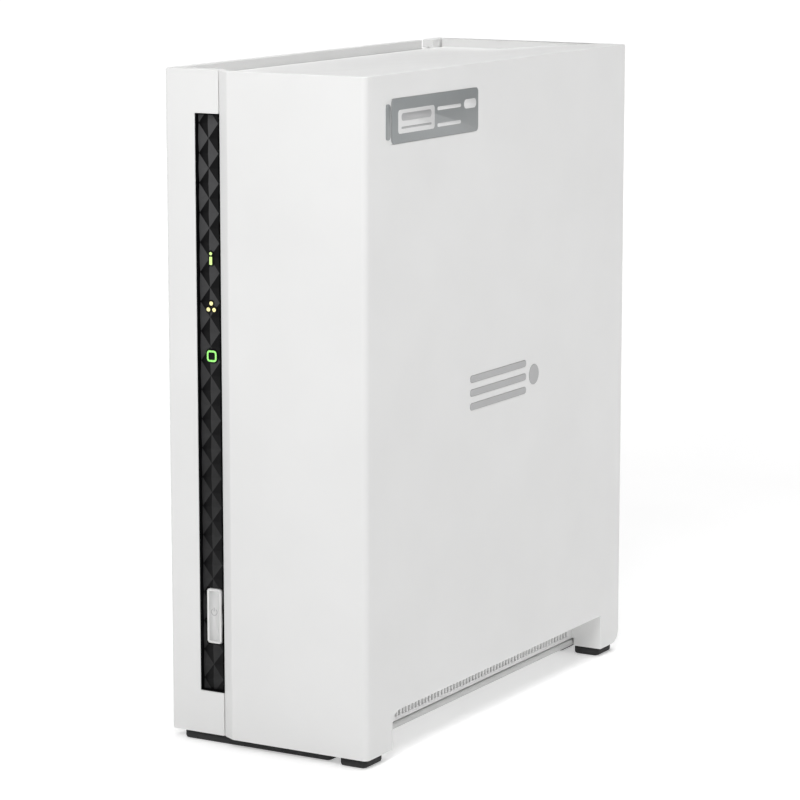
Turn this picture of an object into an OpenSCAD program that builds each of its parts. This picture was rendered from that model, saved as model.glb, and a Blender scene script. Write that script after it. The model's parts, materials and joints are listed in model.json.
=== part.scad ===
// Single-bay network storage unit: an upright two-part plastic case around one 3.5 inch drive.
// Units are millimetres. +X is to the right of someone facing the front, +Y runs to the back
// and +Z is up. The origin lies on the floor, under the middle of the case.

/* [Case] */
// Width of the case
body_w = 66.21; // [66:0.1:68]
// Depth of the case, without the screw heads at the back
body_d = 156.26; // [156:0.1:160]
// Height of the case, without its feet
body_h = 188.64; // [188:0.1:194]
// Height of the rubber feet
foot_h = 2.5; // [2:0.1:4]
// Wall thickness of the plastic mouldings
wall = 2.1; // [1.9:0.1:2.3]
// Radius of the upright front right edge
edge_r = 1.8; // [1:0.1:2]

/* [Front] */
// How far the narrow left column stands behind the wide front
set_back = 2.1; // [1.5:0.1:2.5]
// Distance of the dark strip from the left side
strip_inset = 9.95; // [9:0.05:11]
// Width of the dark strip
strip_w = 8.1; // [7:0.1:8.4]
// Width of the slanted band between the strip and the wide front
band_w = 3.85; // [3:0.05:5]
// Height of the lower end of the strip
strip_z0 = 15.1; // [12:0.1:20]
// Height of the upper end of the strip
strip_z1 = 179; // [170:0.5:182]
// Height of the middle of the power button
button_z = 36.8; // [32:0.1:44]
// Travel of the power button
button_travel = 1; // [0.5:0.1:1]

/* [Top] */
// Depth of the hollow in the top, at its left side
dish_depth = 2.8; // [2:0.1:3]
// Where the hollow starts to rise towards the right
dish_rise_x0 = -9; // [-15:0.5:0]
// Where the rising part of the hollow ends
dish_rise_x1 = 24; // [15:0.5:28]

/* [Underside] */
// Height of the arch under the right side
arch_h = 10.8; // [9:0.1:12]
// Length of the front leg
leg_front = 14.1; // [13:0.1:18]
// Length of the rear leg
leg_rear = 12.6; // [12:0.1:18]
// Width of the legs
leg_w = 9.7; // [9.4:0.1:11]
// Distance between neighbouring vent slots
vent_pitch = 1.9; // [1.7:0.1:3]

/* [Fan] */
// Side of the square fan
fan_size = 60; // [58:0.5:60]
// Thickness of the fan
fan_depth = 15; // [12:0.5:15]
// Height of the fan's axis
fan_z = 146; // [144:0.5:148]
// Number of fan blades
fan_blades = 7; // [5:1:9]

/* [Drive] */
// Length of the drive, from its plug to its far end
drive_l = 147; // [146:0.5:147]
// Width of the drive
drive_w = 101.6; // [100:0.1:101.6]
// Thickness of the drive
drive_t = 26.1; // [25:0.1:26.1]
// Radius of the disks
disk_r = 47.5; // [42:0.5:47.5]

/* [Hidden] */
$fn = 48;

// Gap between bodies that move past each other, and a small overlap for joined shapes
gap = 0.3;
join = 0.05;
// Running clearance of a shaft in a hole, and the sliver of room around a fastener
running = 0.05;

// Case planes
x_left = -body_w / 2;
x_right = body_w / 2;
y_front = -body_d / 2;
y_back = body_d / 2;
z_floor = foot_h;
z_top = foot_h + body_h;
y_column = y_front + set_back;
z_dish = z_top - dish_depth;
x_in_left = x_left + wall;
x_in_right = x_right - wall;

// Front column, strip and band
strip_x0 = x_left + strip_inset;
strip_x1 = strip_x0 + strip_w;
strip_x = (strip_x0 + strip_x1) / 2;
band_x1 = strip_x1 + band_w;
column_x1 = strip_x1 - gap;
recess = 3.2;
button_w = 4.8;
button_h = 15.9;
column_t = 4.5;
column_r = 1.2;
y_strip = y_column + 1.6;
y_inner = y_column + column_t + gap;
// Heights of the three lenses: status, network and drive
lens_z = [138.7, 125.2, 111.3];
lens_w = 3.7;
mark_proud = 0.15;
// Front board behind the strip, its posts, and the switch on it
front_board_y = y_column + column_t + 5 - join;
front_board_z = [24, 148];
front_post_z = [66, 98];
switch_y0 = front_board_y - 3.6;

// Hook of the cover and its notch in the left rim, measured forward from the back
notch_y = [13.6, 6];
hook_y = [10.2, 6.3];
hook_w = 1.6;

// Underside of the right cover
z_arch = z_floor + arch_h;
y_arch0 = y_front + leg_front;
y_arch1 = y_back - leg_rear;
leg_x0 = x_right - leg_w;
vent_x1 = leg_x0 - 0.4;
vent_x0 = vent_x1 - 1.6;
tray_t = 2;
z_tray = z_floor + tray_t;
z_vent = z_tray + 0.4;

// Rubber: two bars under the tray, and pads under the legs
bar_x = [-29.6, 19.2];
front_bar_y = [y_column + 0.9, y_column + 11.1];
foot_l = 10.2;
foot_w = 8.45;
foot_inset = [1.4, 1.05];
foot_r = 1.5;

// Rear panel and fan
panel_t = 2;
y_panel0 = y_back - 4.1;
y_panel1 = y_panel0 + panel_t;
panel_x = x_in_right - 0.4;
panel_z = [z_tray + 0.1, z_dish - wall - 0.5];
grille_pitch = 5.2;
grille_r = 2.5;
panel_slot_n = 9;
panel_slot_x0 = -2;
panel_slot_pitch = 3;
panel_slot_w = 1.4;
panel_slot_z = [52, 100];
lock_slot_at = [8, 26];
lock_slot_size = [7, 3];
fan_y1 = y_panel0 - 0.3;
fan_y0 = fan_y1 - fan_depth;
fan_bore_r = fan_size / 2 - 1.4;
fan_hub_r = 14;
fan_hole = fan_size / 2 - 5;
fan_shaft_r = 1.5;
fan_flange_t = 3;
fan_seat_t = 2.2;
blade_tilt = 38;
blade_w = 17;
blade_t = 1.2;

// Mainboard
board_t = 1.6;
board_x0 = x_in_left + 3.6;
board_x1 = board_x0 + board_t;
board_y0 = -60;
board_y1 = y_panel0 - 0.6;
board_z0 = 20;
board_z1 = 110;
board_holes = [[-54, 26], [-54, 104], [50, 26], [50, 104]];
port_y = y_panel1 + 0.3;

// Parts on the mainboard: lower front corners and sizes, along Y and Z
chip_t = 1.5;
memory_t = 1.1;
processor_at = [-4.5, 62.5];
processor_w = 19;
memory_y = [-42, -29];
memory_z = [58, 74];
memory_size = [9, 13];
flash_at = [-8, 36];
flash_size = [12, 11];
sink_y = [-14, 24];
sink_z = [53, 91];
sink_h = 13;
sink_base = 3;
fin_n = 10;
fin_t = 1.4;
cell_c = [-44, 41];
cell_r = 10;
cell_t = 2.8;
can_y = 44;
can_z = [30, 39, 48];
can_r = 3.2;
can_l = 9;

// Sockets: lower edge, height along Z, reach along X and depth along Y
inlet = [28, 9, 11, 14.3];
lan = [42, 16, 13.4, 21.3];
usb_h = 14.2;
usb_x = 7.2;
usb_d = 14;
usb_z = [63, 82];
reset_z = 103;
reset_x = board_x1 + 5.2;
reset_r = 1.6;
reset_travel = 0.6;
reset_switch_y = [61, 66.5];
inlet_c = [board_x1 + 6, inlet[0] + 4.5];
inlet_bore_r = 3.15;

// Drive, standing on its plug, lid to the right
drive_x0 = -1.4;
drive_x1 = drive_x0 + drive_t;
drive_y0 = -58;
drive_y1 = drive_y0 + drive_w;
drive_z0 = 34.5;
drive_z1 = drive_z0 + drive_l;
circuit_t = 1;
lid_t = 1.3;
spindle_y = (drive_y0 + drive_y1) / 2;
spindle_z = drive_z1 - drive_w / 2;
chamber_r = disk_r + 1.1;
pivot_y = spindle_y + 27;
pivot_z = spindle_z - 50;
drive_floor_x = drive_x0 + circuit_t + 3;
drive_lid_x = drive_x1 - lid_t;
disk_x = [9, 15];
disk_t = 1;
arm_x = [6.4, 11.6, 17.8];
arm_t = 1.2;
arm_reach = 48;
arm_park = 174.6;
post_r = 2.5;
hub_r = 15;
disk_bore_r = 12.5;
side_hole_x = drive_x0 + 6.35;
side_hole_z = [28.5, 130.1];

// Drive bracket
bracket_t = 1;
bracket_x0 = -5.5;
bracket_x1 = bracket_x0 + bracket_t;
bracket_posts = [[-48, 14], [36, 14], [-48, 172], [36, 172]];
spacer_r = 3.4;
spigot_r = 1.9;
spacer_boss_x = x_in_left + 3;
air_window = 30;

// Riser board, the socket on it, and the drive's plug that stands in it
riser_z = 24.6;
plug_y0 = -36;
plug_l = 44;
socket_x = [drive_x0 + 1.2, drive_x0 + 8.2];
tongue_x = [drive_x0 + 4, drive_x0 + 5.4];
tongue_l = 5;

// Fasteners
screw_r = 1.5;
screw_head_r = 2.8;
screw_head_h = 1.8;
cover_screw_x = x_in_right - 3.6;
cover_screw_z = [z_arch + wall + 3.6, z_dish - 7.3];
panel_screw_x = x_in_left + 3.2;
panel_screw_z = [z_floor + 7.2, z_dish - wall - 5.8];
base_screw_x = x_in_left + 3.6;
base_screw_y = [-57, 56];
lug = 3.6;

// Label and mark on the right side: lower front corner and size, and middle, along Y and Z
label_at = [-67.7, 172];
label_size = [51.6, 12.3];
label_r = 2.5;
print_depth = 0.2;
print_proud = 0.1;
print_gap = 0.05;
mark_c = [1, 97];
mark_bar = [34, 2];
mark_pitch = 4;
mark_dot_r = 3;

// Basic shapes ----------------------------------------------------------------------------------

// Box from its lowest to its highest corner
module box(low, high) {
    translate(low)
        cube(high - low);
}

// Round bar along X, Y or Z, starting at a point
module rod_x(p, r, l) {
    translate(p)
        rotate([0, 90, 0])
            cylinder(r = r, h = l);
}
module rod_y(p, r, l) {
    translate(p)
        rotate([-90, 0, 0])
            cylinder(r = r, h = l);
}
module rod_z(p, r, l) {
    translate(p)
        cylinder(r = r, h = l);
}

// Rectangle with round corners in the X-Y plane, made of exact arcs
module round_rect(size, r) {
    union() {
        translate([r, 0])
            square([size[0] - 2 * r, size[1]]);
        translate([0, r])
            square([size[0], size[1] - 2 * r]);
        for (x = [r, size[0] - r])
            for (y = [r, size[1] - r])
                translate([x, y])
                    circle(r = r);
    }
}

// Outline in X and Z, pushed along Y from y0 to y1
module along_y(y0, y1) {
    translate([0, y1, 0])
        rotate([90, 0, 0])
            linear_extrude(height = y1 - y0)
                children();
}

// Outline in Y and Z, pushed along X from x0 to x1
module along_x(x0, x1) {
    translate([x0, 0, 0])
        rotate([90, 0, 90])
            linear_extrude(height = x1 - x0)
                children();
}

// Machine screw with a domed head; it points along -Y, its head at the back
module screw_back(p, l) {
    rod_y([p[0], p[1] - l, p[2]], screw_r - running, l + join);
    difference() {
        rod_y(p, screw_head_r, screw_head_h);
        for (turn = [0, 90])
            translate([p[0], p[1] + screw_head_h, p[2]])
                rotate([0, turn, 0])
                    cube([3, 1.6, 0.7], center = true);
    }
}

// Machine screw that points along -X, its head to the right
module screw_left(p, l) {
    rod_x([p[0] - l, p[1], p[2]], screw_r - running, l + join);
    difference() {
        rod_x(p, screw_head_r, screw_head_h);
        for (turn = [0, 90])
            translate([p[0] + screw_head_h, p[1], p[2]])
                rotate([turn, 0, 0])
                    cube([1.6, 3, 0.7], center = true);
    }
}

// Left half of the case -------------------------------------------------------------------------

// Post on the left wall, with a blind hole for a screw
module wall_post(y, z, x_end, r) {
    difference() {
        rod_x([x_in_left - join, y, z], r, x_end - x_in_left + join);
        rod_x([x_end - 7, y, z], screw_r, 8);
    }
}

// Outline of the column seen from above, with its round left corner
module column_outline() {
    union() {
        translate([x_left, y_column + column_r])
            square([column_x1 - x_left, column_t - column_r]);
        translate([x_left + column_r, y_column])
            square([column_x1 - x_left - column_r, column_t]);
        translate([x_left + column_r, y_column + column_r])
            circle(r = column_r);
    }
}

module left_shell() {
    color("white")
    difference() {
        union() {
            // Left side
            box([x_left, y_column + column_r, z_floor], [x_in_left, y_back, z_top]);
            // Front column, hollow from behind
            difference() {
                translate([0, 0, z_floor])
                    linear_extrude(height = body_h)
                        column_outline();
                box([x_in_left, y_column + wall, z_floor + wall],
                    [strip_x0 - 1.6, y_column + column_t + 1, z_dish - wall]);
            }
            // Ledge that carries the top of the cover
            box([x_in_left - join, y_column + column_t - join, z_dish - wall - 2.4],
                [x_in_left + 4, y_panel0 - gap, z_dish - wall - gap]);
            // Posts for the mainboard, and low bosses for the spacers of the drive bracket
            for (p = board_holes)
                wall_post(p[0], p[1], board_x0, 3);
            for (p = bracket_posts)
                difference() {
                    rod_x([x_in_left - join, p[0], p[1]], 4.4, spacer_boss_x - x_in_left + join);
                    rod_x([x_in_left, p[0], p[1]], spigot_r + running, 8);
                }
            // Posts for the front board
            for (z = front_post_z)
                difference() {
                    rod_y([strip_x, y_column + column_t - join, z], 2.6, 5);
                    rod_y([strip_x, y_column + column_t + 1, z], screw_r, 5);
                }
            // Corner blocks for the rear panel's screws
            for (z = panel_screw_z)
                difference() {
                    box([x_in_left - join, y_panel0 - 9, z - 3.2], [x_in_left + 6, y_panel0, z + 3.3]);
                    rod_y([panel_screw_x, y_panel0 - 8, z], screw_r, 9);
                }
            // Blocks for the base screws
            for (y = base_screw_y)
                difference() {
                    box([x_in_left - join, y - 3.5, z_tray], [x_in_left + 7, y + 3.5, z_tray + 8]);
                    rod_z([base_screw_x, y, z_tray - join], screw_r, 7);
                }
        }
        // Recess for the dark strip, open towards the band
        box([strip_x0, y_column - 1, strip_z0], [strip_x1, y_column + recess, strip_z1]);
        // Holes behind the strip for the lenses and the button's stem
        for (z = lens_z)
            lens_opening(z, lens_w / 2 + 0.35, y_column, y_column + column_t + 1);
        button_opening(y_column, y_column + column_t + 1);
        // Notch in the rim for the cover's hook
        box([x_left - 1, y_back - notch_y[0], z_dish], [x_in_left + 1, y_back - notch_y[1], z_top + 1]);
    }
}

// Square opening round a lens
module lens_opening(z, half, y0, y1) {
    box([strip_x - half, y0, z - half], [strip_x + half, y1, z + half]);
}

// Through opening in which the power button travels
module button_opening(y0, y1) {
    translate([strip_x, 0, button_z])
        along_y(y0, y1)
            translate([-button_w / 2 - gap, -button_h / 2 - gap])
                round_rect([button_w + 2 * gap, button_h + 2 * gap], 1.2);
}

// Dark strip ------------------------------------------------------------------------------------

module front_strip() {
    liner = 0.3;
    x0 = strip_x0 + 0.02;
    x1 = column_x1;
    color([0.05, 0.05, 0.055])
    difference() {
        union() {
            box([x0, y_strip, strip_z0], [x1, y_column + recess, strip_z1]);
            box([x0, y_column + 0.15, strip_z0], [x0 + liner, y_strip + join, strip_z1]);
            box([x0, y_column + 0.15, strip_z0], [x1, y_strip + join, strip_z0 + liner]);
            box([x0, y_column + 0.15, strip_z1 - liner], [x1, y_strip + join, strip_z1]);
        }
        button_opening(y_column - 1, y_column + recess + 1);
        for (z = lens_z)
            lens_opening(z, lens_w / 2 + running, y_strip - 1, y_column + recess + 1);
    }
}

// Lens: a clear block behind the strip's opening, with its mark standing a little proud
module lens(z) {
    front = y_strip + 0.3;
    union() {
        lens_opening(z, lens_w / 2, front, y_column + recess);
        lens_opening(z, lens_w / 2 - 0.25, y_column + recess - join, y_column + column_t + 0.8);
        translate([strip_x, 0, z])
            along_y(y_strip - mark_proud, front + join)
                children();
    }
}

module status_lens() {
    color([0.85, 1, 0.45])
    lens(lens_z[0]) {
        union() {
            translate([0, 1.35])
                circle(r = 0.42);
            translate([-0.42, -1.6])
                square([0.84, 2.25]);
        }
    }
}

module network_lens() {
    color([1, 0.95, 0.5])
    lens(lens_z[1]) {
        union() {
            translate([0, 0.9])
                circle(r = 0.6);
            for (side = [-1, 1])
                translate([side * 0.95, -0.8])
                    circle(r = 0.6);
        }
    }
}

module drive_lens() {
    color([0.45, 1, 0.5])
    lens(lens_z[2]) {
        difference() {
            translate([-1.65, -1.65])
                round_rect([3.3, 3.3], 0.9);
            translate([-1, -1])
                round_rect([2, 2], 0.45);
        }
    }
}

// Front board, lamps and switch -----------------------------------------------------------------

module front_board() {
    color("darkgreen")
    difference() {
        box([x_in_left + 0.8, front_board_y, front_board_z[0]],
            [column_x1 + 1.5, front_board_y + board_t, front_board_z[1]]);
        for (z = front_post_z)
            rod_y([strip_x, front_board_y - 1, z], screw_r + 0.1, 4);
    }
}

module indicator_lamps() {
    color([0.95, 0.95, 0.8])
    for (z = lens_z)
        union() {
            box([strip_x - 1.5, front_board_y - 1.2, z - 1.5], [strip_x + 1.5, front_board_y, z + 1.5]);
            rod_y([strip_x, front_board_y - 3.2, z], 1.2, 2.2);
        }
}

module power_switch() {
    color([0.25, 0.25, 0.27])
    union() {
        box([strip_x - 3, switch_y0 + 0.6, button_z - 3], [strip_x + 3, front_board_y, button_z + 3]);
        rod_y([strip_x, switch_y0, button_z], 1.7, 1);
    }
}

module power_button() {
    top = y_column + 1;
    stem_y = switch_y0 - button_travel - 0.1;
    color("white")
    union() {
        translate([strip_x, 0, button_z])
            along_y(top, y_column + recess + 0.1)
                translate([-button_w / 2, -button_h / 2])
                    round_rect([button_w, button_h], 1);
        box([strip_x - 1.6, y_column + recess, button_z - 3.6], [strip_x + 1.6, stem_y, button_z + 3.6]);
    }
}

// Base ------------------------------------------------------------------------------------------

module base_tray() {
    rib = 1;
    color([0.93, 0.93, 0.92])
    difference() {
        union() {
            along_y(y_column + column_t, y_panel1)
                polygon([
                    [x_in_left, z_floor], [vent_x1 - 0.4, z_floor], [vent_x1, z_floor + 0.4],
                    [vent_x1, z_tray - 0.4], [vent_x1 - 0.4, z_tray], [x_in_left, z_tray]
                ]);
            box([band_x1 + 0.4, y_column + wall + gap, z_floor],
                [vent_x1 - 0.4, y_column + column_t + join, z_tray]);
            // Stiffening ribs
            for (x = [-18, 17])
                box([x, -60, z_tray - join], [x + rib, 60, z_tray + 2.4]);
        }
        // Air slots under the drive
        for (row = [-1, 0, 1])
            for (i = [0:6])
                box([-11 + 4 * i, row * 38 - 15, z_floor - 1], [-9 + 4 * i, row * 38 + 15, z_tray + 1]);
        // Screw holes
        for (y = base_screw_y) {
            rod_z([base_screw_x, y, z_floor - 1], screw_r + 0.1, 5);
            rod_z([base_screw_x, y, z_floor - 1], screw_head_r + 0.2, 2);
        }
    }
}

module base_screws() {
    color("silver")
    for (y = base_screw_y)
        union() {
            rod_z([base_screw_x, y, z_floor + 0.1], screw_head_r, 0.9);
            rod_z([base_screw_x, y, z_floor + 0.9], screw_r - running, 6.5);
        }
}

// Rubber bar with rounded ends, along X
module foot_bar(x0, x1, y0, y1) {
    translate([x0, y0, 0])
        linear_extrude(height = foot_h)
            round_rect([x1 - x0, y1 - y0], foot_r);
}

module front_foot_bar() {
    color([0.2, 0.2, 0.2])
        foot_bar(bar_x[0], bar_x[1], front_bar_y[0], front_bar_y[1]);
}
module rear_foot_bar() {
    color([0.2, 0.2, 0.2])
        foot_bar(bar_x[0], bar_x[1], y_arch1 + 0.2, y_arch1 + 0.2 + foot_l);
}

// Rear panel ------------------------------------------------------------------------------------

// Hexagonal holes inside a circle
module fan_grille() {
    for (i = [-6:6])
        for (j = [-6:6]) {
            x = grille_pitch * (i + (j % 2 == 0 ? 0 : 0.5));
            z = grille_pitch * sin(60) * j;
            if (norm([x, z]) < fan_bore_r - grille_r)
                translate([x, z])
                    rotate(30)
                        circle(r = grille_r, $fn = 6);
        }
}

module rear_panel() {
    color([0.95, 0.95, 0.94])
    difference() {
        box([x_in_left, y_panel0, panel_z[0]], [panel_x, y_panel1, panel_z[1]]);
        // Grille and the fan's screw holes
        translate([0, 0, fan_z])
            along_y(y_panel0 - 1, y_panel1 + 1)
                fan_grille();
        for (x = [-1, 1])
            for (z = [-1, 1])
                rod_y([x * fan_hole, y_panel0 - 1, fan_z + z * fan_hole], screw_r + 0.1, 4);
        // Sockets
        box([board_x1 - 0.3, y_panel0 - 1, inlet[0] - 0.3],
            [board_x1 + inlet[2] + 0.3, y_panel1 + 1, inlet[0] + inlet[1] + 0.3]);
        box([board_x1 - 0.3, y_panel0 - 1, lan[0] - 0.3],
            [board_x1 + lan[2] + 0.3, y_panel1 + 1, lan[0] + lan[1] + 0.3]);
        for (z = usb_z)
            box([board_x1 - 0.3, y_panel0 - 1, z - 0.3],
                [board_x1 + usb_x + 0.3, y_panel1 + 1, z + usb_h + 0.3]);
        // Reset button and lock slot
        rod_y([reset_x, y_panel0 - 1, reset_z], reset_r, 4);
        lock_slot();
        // Side vents, low on the right
        for (i = [0:panel_slot_n - 1])
            translate([panel_slot_x0 + panel_slot_pitch * i, 0, 0])
                box([0, y_panel0 - 1, panel_slot_z[0]], [panel_slot_w, y_panel1 + 1, panel_slot_z[1]]);
        // Corner that the cover's rear leg needs
        box([leg_x0 - gap, y_panel0 - 1, z_floor], [x_right, y_panel1 + 1, z_arch + wall + gap]);
        // Screw holes of the panel, and open slots for the cover's screws
        for (z = panel_screw_z)
            rod_y([panel_screw_x, y_panel0 - 1, z], screw_r + 0.1, 4);
        for (z = cover_screw_z)
            union() {
                rod_y([cover_screw_x, y_panel0 - 1, z], screw_r + gap, 4);
                box([cover_screw_x, y_panel0 - 1, z - screw_r - gap],
                    [x_right, y_panel1 + 1, z + screw_r + gap]);
            }
    }
}

// Slot for a security lock
module lock_slot() {
    translate([lock_slot_at[0], 0, lock_slot_at[1]])
        along_y(y_panel0 - 1, y_panel1 + 1)
            translate(-lock_slot_size / 2)
                round_rect(lock_slot_size, 0.8);
}

module panel_screws() {
    color("silver")
    for (z = panel_screw_z)
        screw_back([panel_screw_x, y_panel1, z], 7);
}

module fan_screws() {
    color("silver")
    for (x = [-1, 1])
        for (z = [-1, 1])
            screw_back([x * fan_hole, y_panel1, fan_z + z * fan_hole], 8);
}

// Fan -------------------------------------------------------------------------------------------

module fan_frame() {
    color([0.1, 0.1, 0.1])
    difference() {
        union() {
            difference() {
                translate([-fan_size / 2, 0, fan_z - fan_size / 2])
                    along_y(fan_y0, fan_y1)
                        round_rect([fan_size, fan_size], 3);
                rod_y([0, fan_y0 - 1, fan_z], fan_bore_r, fan_depth + 2);
                // Waist between the two flanges
                for (turn = [0, 90, 180, 270])
                    translate([0, 0, fan_z])
                        rotate([0, turn, 0])
                            box([-19, fan_y0 + fan_flange_t, fan_bore_r + 0.9],
                                [19, fan_y1 - fan_flange_t, fan_size]);
            }
            // Motor seat on its four arms
            rod_y([0, fan_y1 - fan_seat_t, fan_z], fan_hub_r, fan_seat_t);
            for (turn = [45, 135])
                translate([0, 0, fan_z])
                    rotate([0, turn, 0])
                        box([-fan_bore_r - 0.6, fan_y1 - fan_seat_t, -1.4], [fan_bore_r + 0.6, fan_y1, 1.4]);
            // Shaft that carries the rotor
            rod_y([0, fan_y0 + 3, fan_z], fan_shaft_r, fan_depth - 4);
        }
        for (x = [-1, 1])
            for (z = [-1, 1])
                rod_y([x * fan_hole, fan_y0 - 1, fan_z + z * fan_hole], screw_r, fan_depth + 2);
    }
}

module fan_rotor() {
    y0 = fan_y0 + 1;
    y1 = fan_y1 - fan_seat_t - 0.6;
    tip_r = fan_bore_r - 0.8;
    color([0.13, 0.13, 0.13])
    translate([0, 0, fan_z])
    difference() {
        union() {
            rod_y([0, y0, 0], fan_hub_r - 0.6, y1 - y0);
            intersection() {
                union() {
                    for (i = [0:fan_blades - 1])
                        rotate([0, i * 360 / fan_blades, 0])
                            translate([0, (y0 + y1) / 2, tip_r / 2 + 4])
                                rotate([0, 0, blade_tilt])
                                    cube([blade_w, blade_t, tip_r], center = true);
                }
                difference() {
                    rod_y([0, y0 + 0.4, 0], tip_r, y1 - y0 - 0.8);
                    rod_y([0, y0, 0], fan_hub_r - 2, y1 - y0);
                }
            }
        }
        // Bearing bore
        rod_y([0, y0 + 1.6, 0], fan_shaft_r + running, y1 - y0);
    }
}

// Mainboard and its parts -----------------------------------------------------------------------

module mainboard() {
    color([0.05, 0.3, 0.15])
    difference() {
        box([board_x0, board_y0, board_z0], [board_x1, board_y1, board_z1]);
        for (p = board_holes)
            rod_x([board_x0 - 1, p[0], p[1]], screw_r + 0.1, 4);
    }
}

module board_screws() {
    color("silver")
    for (p = board_holes)
        screw_left([board_x1, p[0], p[1]], 4.9);
}

// Chip on the mainboard: lower front corner, size along Y and Z, and thickness
module chip(at, size, t) {
    along_x(board_x1, board_x1 + t)
        translate(at)
            square(size);
}

module processor() {
    color([0.1, 0.1, 0.11])
        chip(processor_at, [processor_w, processor_w], chip_t);
}

module heat_sink() {
    base_x = board_x1 + chip_t;
    color([0.75, 0.76, 0.78])
    union() {
        box([base_x, sink_y[0], sink_z[0]], [base_x + sink_base, sink_y[1], sink_z[1]]);
        for (i = [0:fin_n - 1])
            translate([0, sink_y[0] + i * (sink_y[1] - sink_y[0] - fin_t) / (fin_n - 1), 0])
                box([base_x + sink_base - join, 0, sink_z[0]], [base_x + sink_h, fin_t, sink_z[1]]);
    }
}

module memory_chips() {
    color([0.1, 0.1, 0.11])
    for (z = memory_z)
        for (y = memory_y)
            chip([y, z], memory_size, memory_t);
}

module flash_chip() {
    color([0.12, 0.12, 0.13])
        chip(flash_at, flash_size, memory_t);
}

module cell_holder() {
    color([0.15, 0.15, 0.16])
    difference() {
        rod_x([board_x1, cell_c[0], cell_c[1]], cell_r + 1.6, 4.6);
        rod_x([board_x1 + 1, cell_c[0], cell_c[1]], cell_r + running, 4);
        box([board_x1 + 1, cell_c[0] - 12, cell_c[1] + 3], [board_x1 + 5, cell_c[0] + 12, cell_c[1] + 13]);
    }
}
module coin_cell() {
    color([0.8, 0.8, 0.82])
    union() {
        rod_x([board_x1 + 1, cell_c[0], cell_c[1]], cell_r, cell_t);
        rod_x([board_x1 + 1 + cell_t - join, cell_c[0], cell_c[1]], cell_r - 1.4, 0.45);
    }
}

module capacitors() {
    color([0.3, 0.35, 0.6])
    for (z = can_z)
        rod_x([board_x1, can_y, z], can_r, can_l);
}

module riser_slot() {
    color([0.85, 0.85, 0.8])
    difference() {
        box([board_x1, plug_y0 - 3, riser_z - 2.4], [board_x1 + 8, plug_y0 + plug_l + 3, riser_z + 4]);
        box([board_x1 + 2, plug_y0 - 1, riser_z - running], [board_x1 + 9, plug_y0 + plug_l + 1,
            riser_z + board_t + running]);
    }
}

module riser_board() {
    color([0.05, 0.3, 0.15])
        box([board_x1 + 2.2, plug_y0 - 0.8, riser_z], [9, plug_y0 + plug_l + 0.8, riser_z + board_t]);
}

module drive_socket() {
    color([0.1, 0.1, 0.1])
    difference() {
        box([socket_x[0], plug_y0 - 0.5, riser_z + board_t],
            [socket_x[1], plug_y0 + plug_l + 0.5, drive_z0 - 0.4]);
        box([tongue_x[0] - running, plug_y0 + 1, riser_z + board_t + 1.4],
            [tongue_x[1] + running, plug_y0 + plug_l - 1, drive_z0]);
    }
}

module network_socket() {
    color([0.8, 0.8, 0.82])
    difference() {
        box([board_x1, port_y - lan[3], lan[0]], [board_x1 + lan[2], port_y, lan[0] + lan[1]]);
        box([board_x1 + 1.6, port_y - 14, lan[0] + 2.1],
            [board_x1 + 9.6, port_y + 1, lan[0] + lan[1] - 2.1]);
        box([board_x1 + 9.6 - join, port_y - 14, lan[0] + 5], [board_x1 + 12, port_y + 1, lan[0] + 11]);
    }
}

module usb_sockets() {
    color([0.78, 0.79, 0.8])
    for (z = usb_z)
        union() {
            difference() {
                box([board_x1, port_y - usb_d, z], [board_x1 + usb_x, port_y, z + usb_h]);
                box([board_x1 + 0.6, port_y - usb_d + 1, z + 0.6],
                    [board_x1 + usb_x - 0.6, port_y + 1, z + usb_h - 0.6]);
            }
            box([board_x1 + 3.7, port_y - usb_d + 0.9, z + 1.4],
                [board_x1 + 5.5, port_y - 1, z + usb_h - 1.4]);
        }
}

module power_inlet() {
    color([0.08, 0.08, 0.08])
    union() {
        difference() {
            box([board_x1, port_y - inlet[3], inlet[0]],
                [board_x1 + inlet[2], port_y, inlet[0] + inlet[1]]);
            rod_y([inlet_c[0], port_y - 9.5, inlet_c[1]], inlet_bore_r, 10);
        }
        rod_y([inlet_c[0], port_y - 9.6, inlet_c[1]], 1, 8.8);
    }
}

module reset_switch() {
    color([0.25, 0.25, 0.27])
    union() {
        box([board_x1, reset_switch_y[0], reset_z - 3.2],
            [reset_x + 3.2, reset_switch_y[1], reset_z + 3.2]);
        rod_y([reset_x, reset_switch_y[1] - 0.1, reset_z], 1.2, 1);
    }
}

module reset_button() {
    y0 = reset_switch_y[1] + 0.9 + reset_travel + 0.2;
    color([0.15, 0.15, 0.15])
    union() {
        rod_y([reset_x, y0, reset_z], reset_r - running, y_panel1 - 0.4 - y0);
        rod_y([reset_x, y_panel0 - 1.6, reset_z], 2.6, 1.2);
    }
}

// Drive and its bracket -------------------------------------------------------------------------

module drive_bracket() {
    flange_x = drive_x0 + 14;
    top = drive_z1 + 1.5;
    color([0.72, 0.73, 0.75])
    difference() {
        union() {
            box([bracket_x0, drive_y0 - 1.5, 8], [bracket_x1, drive_y1 + 1.5, top]);
            box([bracket_x0, drive_y0 - 1.5, drive_z0 + 6], [flange_x, drive_y0 - 0.5, top]);
            box([bracket_x0, drive_y1 + 0.5, drive_z0 + 6], [flange_x, drive_y1 + 1.5, top]);
        }
        // Window for the riser, air windows behind the drive
        box([bracket_x0 - 1, plug_y0 - 3, riser_z - 2],
            [bracket_x1 + 1, plug_y0 + plug_l + 3, drive_z0 + 2]);
        for (z = [50, 92, 134])
            for (y = [drive_y0 + 16, spindle_y + 6])
                box([bracket_x0 - 1, y, z], [bracket_x1 + 1, y + air_window, z + air_window]);
        for (p = bracket_posts)
            rod_x([bracket_x0 - 1, p[0], p[1]], screw_r + 0.1, 3);
        for (z = side_hole_z)
            rod_y([side_hole_x, drive_y0 - 3, drive_z0 + z], 1.9, drive_w + 6);
    }
}

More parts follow.
